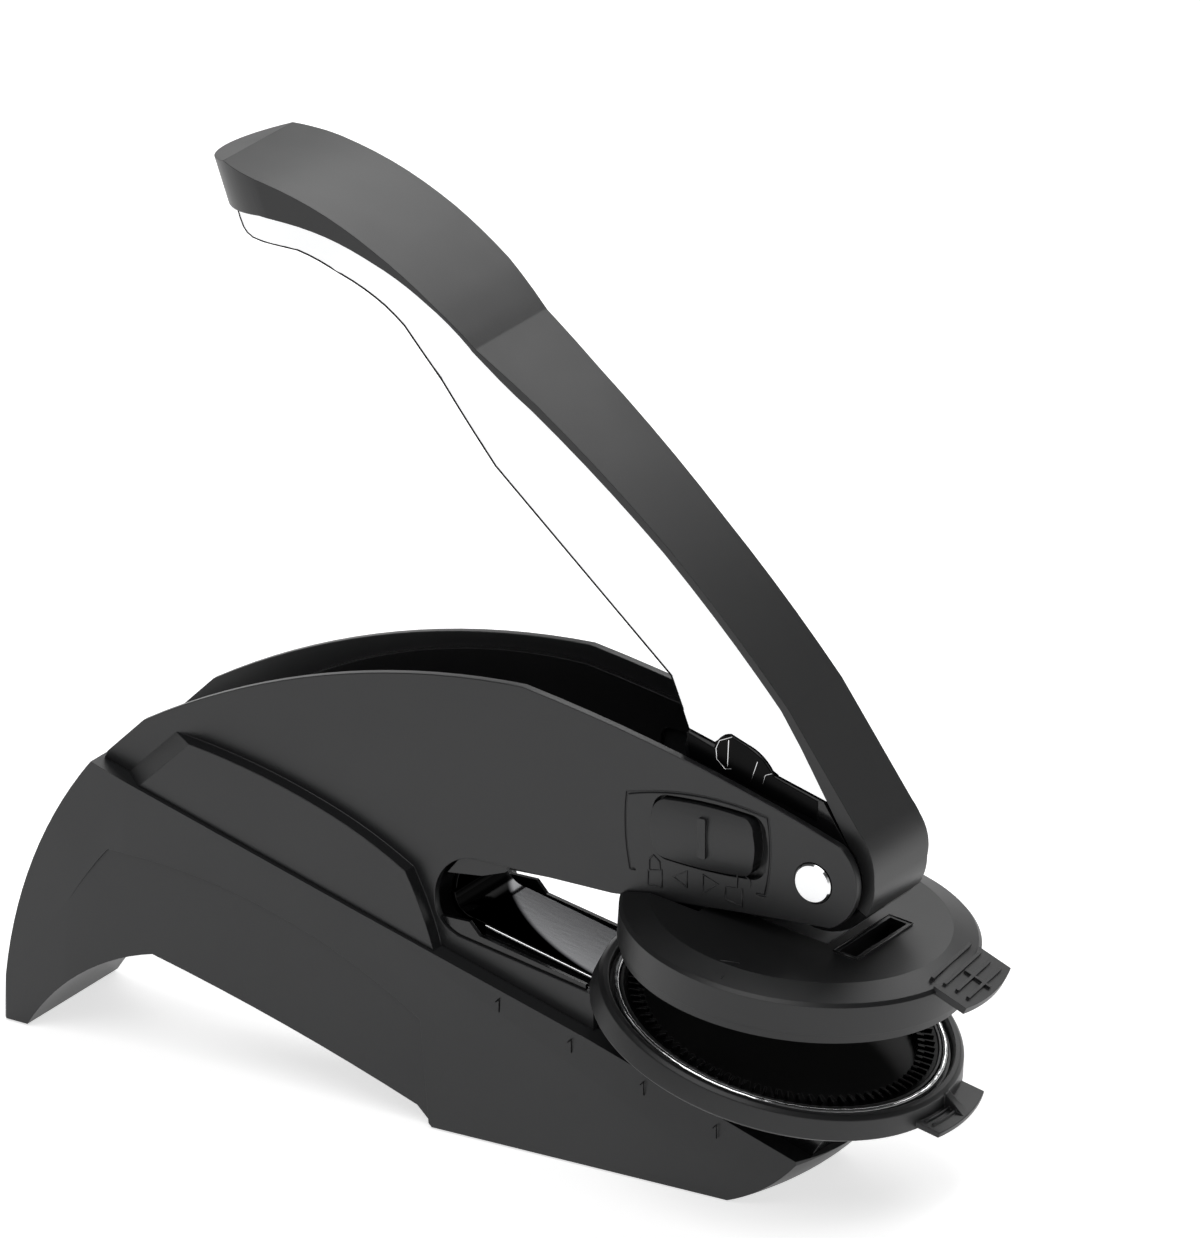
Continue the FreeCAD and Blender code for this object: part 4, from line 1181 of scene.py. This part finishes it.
@dataclass
class UpperClip(SubAssembly):
    """The upper die holder on its flexing leaf."""

    body: str = "upper_clip"
    edge_work: tuple[EdgeWork, ...] = (
        EdgeWork("clip_leaf_upper", 0.10),
    )
    centre: Flat = (48.6, 39.9)
    tilt: float = 7.5
    window: Point = (9.9, 13.9, 7.7)
    window_top: float = 1.78
    window_step: Flat = (0.5, 0.2)
    window_bead: float = 0.14
    arrow: tuple[Flat, ...] = ((-0.7, -21.4), (1.9, -20.1), (1.5, -24.5))
    arrow_bead: float = 0.10
    slope_start: Flat = (21.8, 1.5)
    slope_fall: float = 1.3 / 3.8
    leaf_bow: float = 1.3
    bow_run: float = 3.0

    def details(self) -> None:
        """Adds the window's rim and the arrow mark on the slope."""
        rims = []
        for inset, sink in ((0.0, 0.0), self.window_step):
            rear, front, half = self.window[0] + inset, self.window[1] - inset, self.window[2] - inset
            corners = ((rear, -half), (front, -half), (front, half), (rear, half))
            rim = [(u, v, self.window_top - sink) for u, v in corners]
            rims.append((tipped(rim, self.centre, self.tilt), True))
        self.beads("window_rim", Slot.GLOSS, self.window_bead, rims)
        mark = [(u, v, self._slope(math.hypot(u, v))) for u, v in self.arrow]
        self.beads("arrow_mark", Slot.CLIP, self.arrow_bead,
                   [(tipped(mark, self.centre, self.tilt), False)])

    def shifter(self, node: str) -> Callable[[Vector], Vector] | None:
        """Bows the upper leaf's run up behind the covers' lower edge.

        Args:
            node: the CAD node whose copy moves.

        Returns:
            What moves a vertex, or nothing for the other nodes.
        """
        if node != "clip_leaf_upper":
            return None
        low = min(vertex.co.z for vertex in frame["nodes"][node].data.vertices)

        def bow(place: Vector) -> Vector:
            """The place of one vertex after the run is bowed."""
            share = min(1.0, max(0.0, (place.z - low) / MM / self.bow_run))
            return place + Vector((0.0, 0.0, self.leaf_bow * share * MM))

        return bow

    def _slope(self, reach: float) -> float:
        """Height of the holder's top at a distance from its middle, in millimetres."""
        return self.slope_start[1] - max(0.0, reach - self.slope_start[0]) * self.slope_fall


@dataclass
class LockSlide(SubAssembly):
    """The two sliding lock buttons."""

    body: str = "lock"
    edge_work: tuple[EdgeWork, ...] = (
        EdgeWork("lock_button_left", 0.30, sharp=24.0),
        EdgeWork("lock_button_right", 0.30, sharp=24.0),
    )


# ---- Studio ----
@dataclass(frozen=True)
class SoftBox:
    """A rectangular soft lamp that looks at the object."""

    name: str
    azimuth: float
    elevation: float
    distance: float
    width: float
    height: float
    watts: float


@dataclass
class Studio:
    """Camera, floor, world and soft lamps."""

    target: Point = (0.015, 0.0, 0.079245)
    azimuth: float = 31.58
    elevation: float = 21.98
    distance: float = 2.53566
    lens: float = 516.77
    sensor: float = 36.0
    floor_half: float = 4.0
    soft_boxes: tuple[SoftBox, ...] = (
        SoftBox("key", -80.0, 60.0, 1.3, 1.0, 1.0, 7.0),
        SoftBox("rear_top", 92.0, 45.0, 0.75, 0.62, 0.34, 1.9),
        SoftBox("grip_glow", 118.0, 61.0, 0.75, 0.20, 0.22, 0.75),
    )
    floor_lift: float = 0.68
    band_top: float = 0.24
    band_end: float = 0.40
    roof_level: float = 0.06
    side_level: float = 0.40
    side_edge: float = 0.25
    wall_edge: float = 0.80
    glow_azimuth: float = 128.0

    def build(self) -> None:
        """Makes everything round the object."""
        self._camera()
        self._floor()
        self._world()
        for box in self.soft_boxes:
            self._lamp(box)
        bpy.context.scene.view_settings.view_transform = "Standard"

    def _hang(self, name: str, data: bpy.types.ID, angles: Flat, distance: float) -> Piece:
        """Places a camera or a lamp so that it looks at the object.

        Args:
            name: its name.
            data: the camera or the light.
            angles: where it stands: azimuth from +X towards +Y, and elevation, in degrees.
            distance: how far from the target.

        Returns:
            The object.
        """
        turn, rise = (math.radians(angle) for angle in angles)
        out = Vector((math.cos(turn) * math.cos(rise), math.sin(turn) * math.cos(rise), math.sin(rise)))
        item = bpy.data.objects.new(name, data)
        item.location = Vector(self.target) + out * distance
        item.rotation_euler = (-out).to_track_quat("-Z", "Y").to_euler()
        bpy.context.scene.collection.objects.link(item)
        return item

    def _camera(self) -> None:
        """Puts the camera at the viewing angle, with no shift."""
        data = bpy.data.cameras.new("camera")
        data.sensor_fit = "VERTICAL"
        data.sensor_height = self.sensor
        data.sensor_width = self.sensor
        data.lens = self.lens
        data.clip_start = 0.1
        data.clip_end = 50.0
        angles = (self.azimuth - 90.0, self.elevation)
        bpy.context.scene.camera = self._hang("camera", data, angles, self.distance)

    def _floor(self) -> None:
        """Lays the pale floor, which looks white straight to the camera and keeps shadows."""
        half = self.floor_half
        mesh = bpy.data.meshes.new("floor")
        mesh.from_pydata([(-half, -half, 0), (half, -half, 0), (half, half, 0), (-half, half, 0)],
                         [], [(0, 1, 2, 3)])
        floor = link("floor", mesh)
        material = bpy.data.materials.new("pale_floor")
        material.use_nodes = True
        tree = material.node_tree
        seen = wired(tree, "ShaderNodeLightPath")
        either = maths(tree, "ADD", seen.outputs["Is Camera Ray"], seen.outputs["Is Glossy Ray"],
                       clamp=True)
        feed(tree, tree.nodes["Principled BSDF"], {
            "Base Color": (0.90, 0.90, 0.90, 1.0), "Roughness": 0.9, "Specular IOR Level": 0.1,
            "Emission Color": (1.0, 1.0, 1.0, 1.0),
            "Emission Strength": maths(tree, "MULTIPLY", either, self.floor_lift)})
        dress(floor, material)

    def _world(self) -> None:
        """Lights the scene with a pale wall low down behind the left, and a dark ceiling."""
        world = bpy.data.worlds.new("studio")
        world.use_nodes = True
        tree = world.node_tree
        turn = math.radians(self.glow_azimuth)
        where = wired(tree, "ShaderNodeTexCoord").outputs["Generated"]
        height = wired(tree, "ShaderNodeSeparateXYZ", {0: where}).outputs["Z"]
        toward = wired(tree, "ShaderNodeVectorMath",
                       {0: where, 1: (math.cos(turn), math.sin(turn), 0.0)}, operation="DOT_PRODUCT")
        wall = ramp(tree, toward.outputs["Value"], self.side_edge, self.wall_edge, self.side_level)
        roof = ramp(tree, height, self.band_top, self.band_end)
        sky = wired(tree, "ShaderNodeMix", {0: roof, 2: wall, 3: self.roof_level}, data_type="FLOAT")
        seen = wired(tree, "ShaderNodeLightPath")
        final = wired(tree, "ShaderNodeMix",
                      {0: seen.outputs["Is Camera Ray"], 2: sky.outputs[0], 3: 1.0}, data_type="FLOAT")
        feed(tree, tree.nodes["Background"],
             {"Color": (1.0, 1.0, 1.0, 1.0), "Strength": final.outputs[0]})
        bpy.context.scene.world = world

    def _lamp(self, box: SoftBox) -> None:
        """Hangs one soft lamp.

        Args:
            box: its place, as azimuth from +X towards +Y and elevation, and its size and power.
        """
        data = bpy.data.lights.new(box.name, "AREA")
        data.shape = "RECTANGLE"
        data.size = box.width
        data.size_y = box.height
        data.energy = box.watts
        self._hang(box.name, data, (box.azimuth, box.elevation), box.distance)


def main() -> None:
    """Builds the sub-assemblies in order, then the studio."""
    logging.basicConfig(level=logging.INFO, format="%(name)s: %(message)s")
    book = FinishBook(ShaderGroups())
    sheets = Sheets()
    for kind in (PressFrame, Lever, UpperClip, LockSlide):
        made = kind(book, sheets).build()
        LOG.info("%s: %d pieces", kind.__name__, len(made))
    Studio().build()


if __name__ == "__main__":
    main()
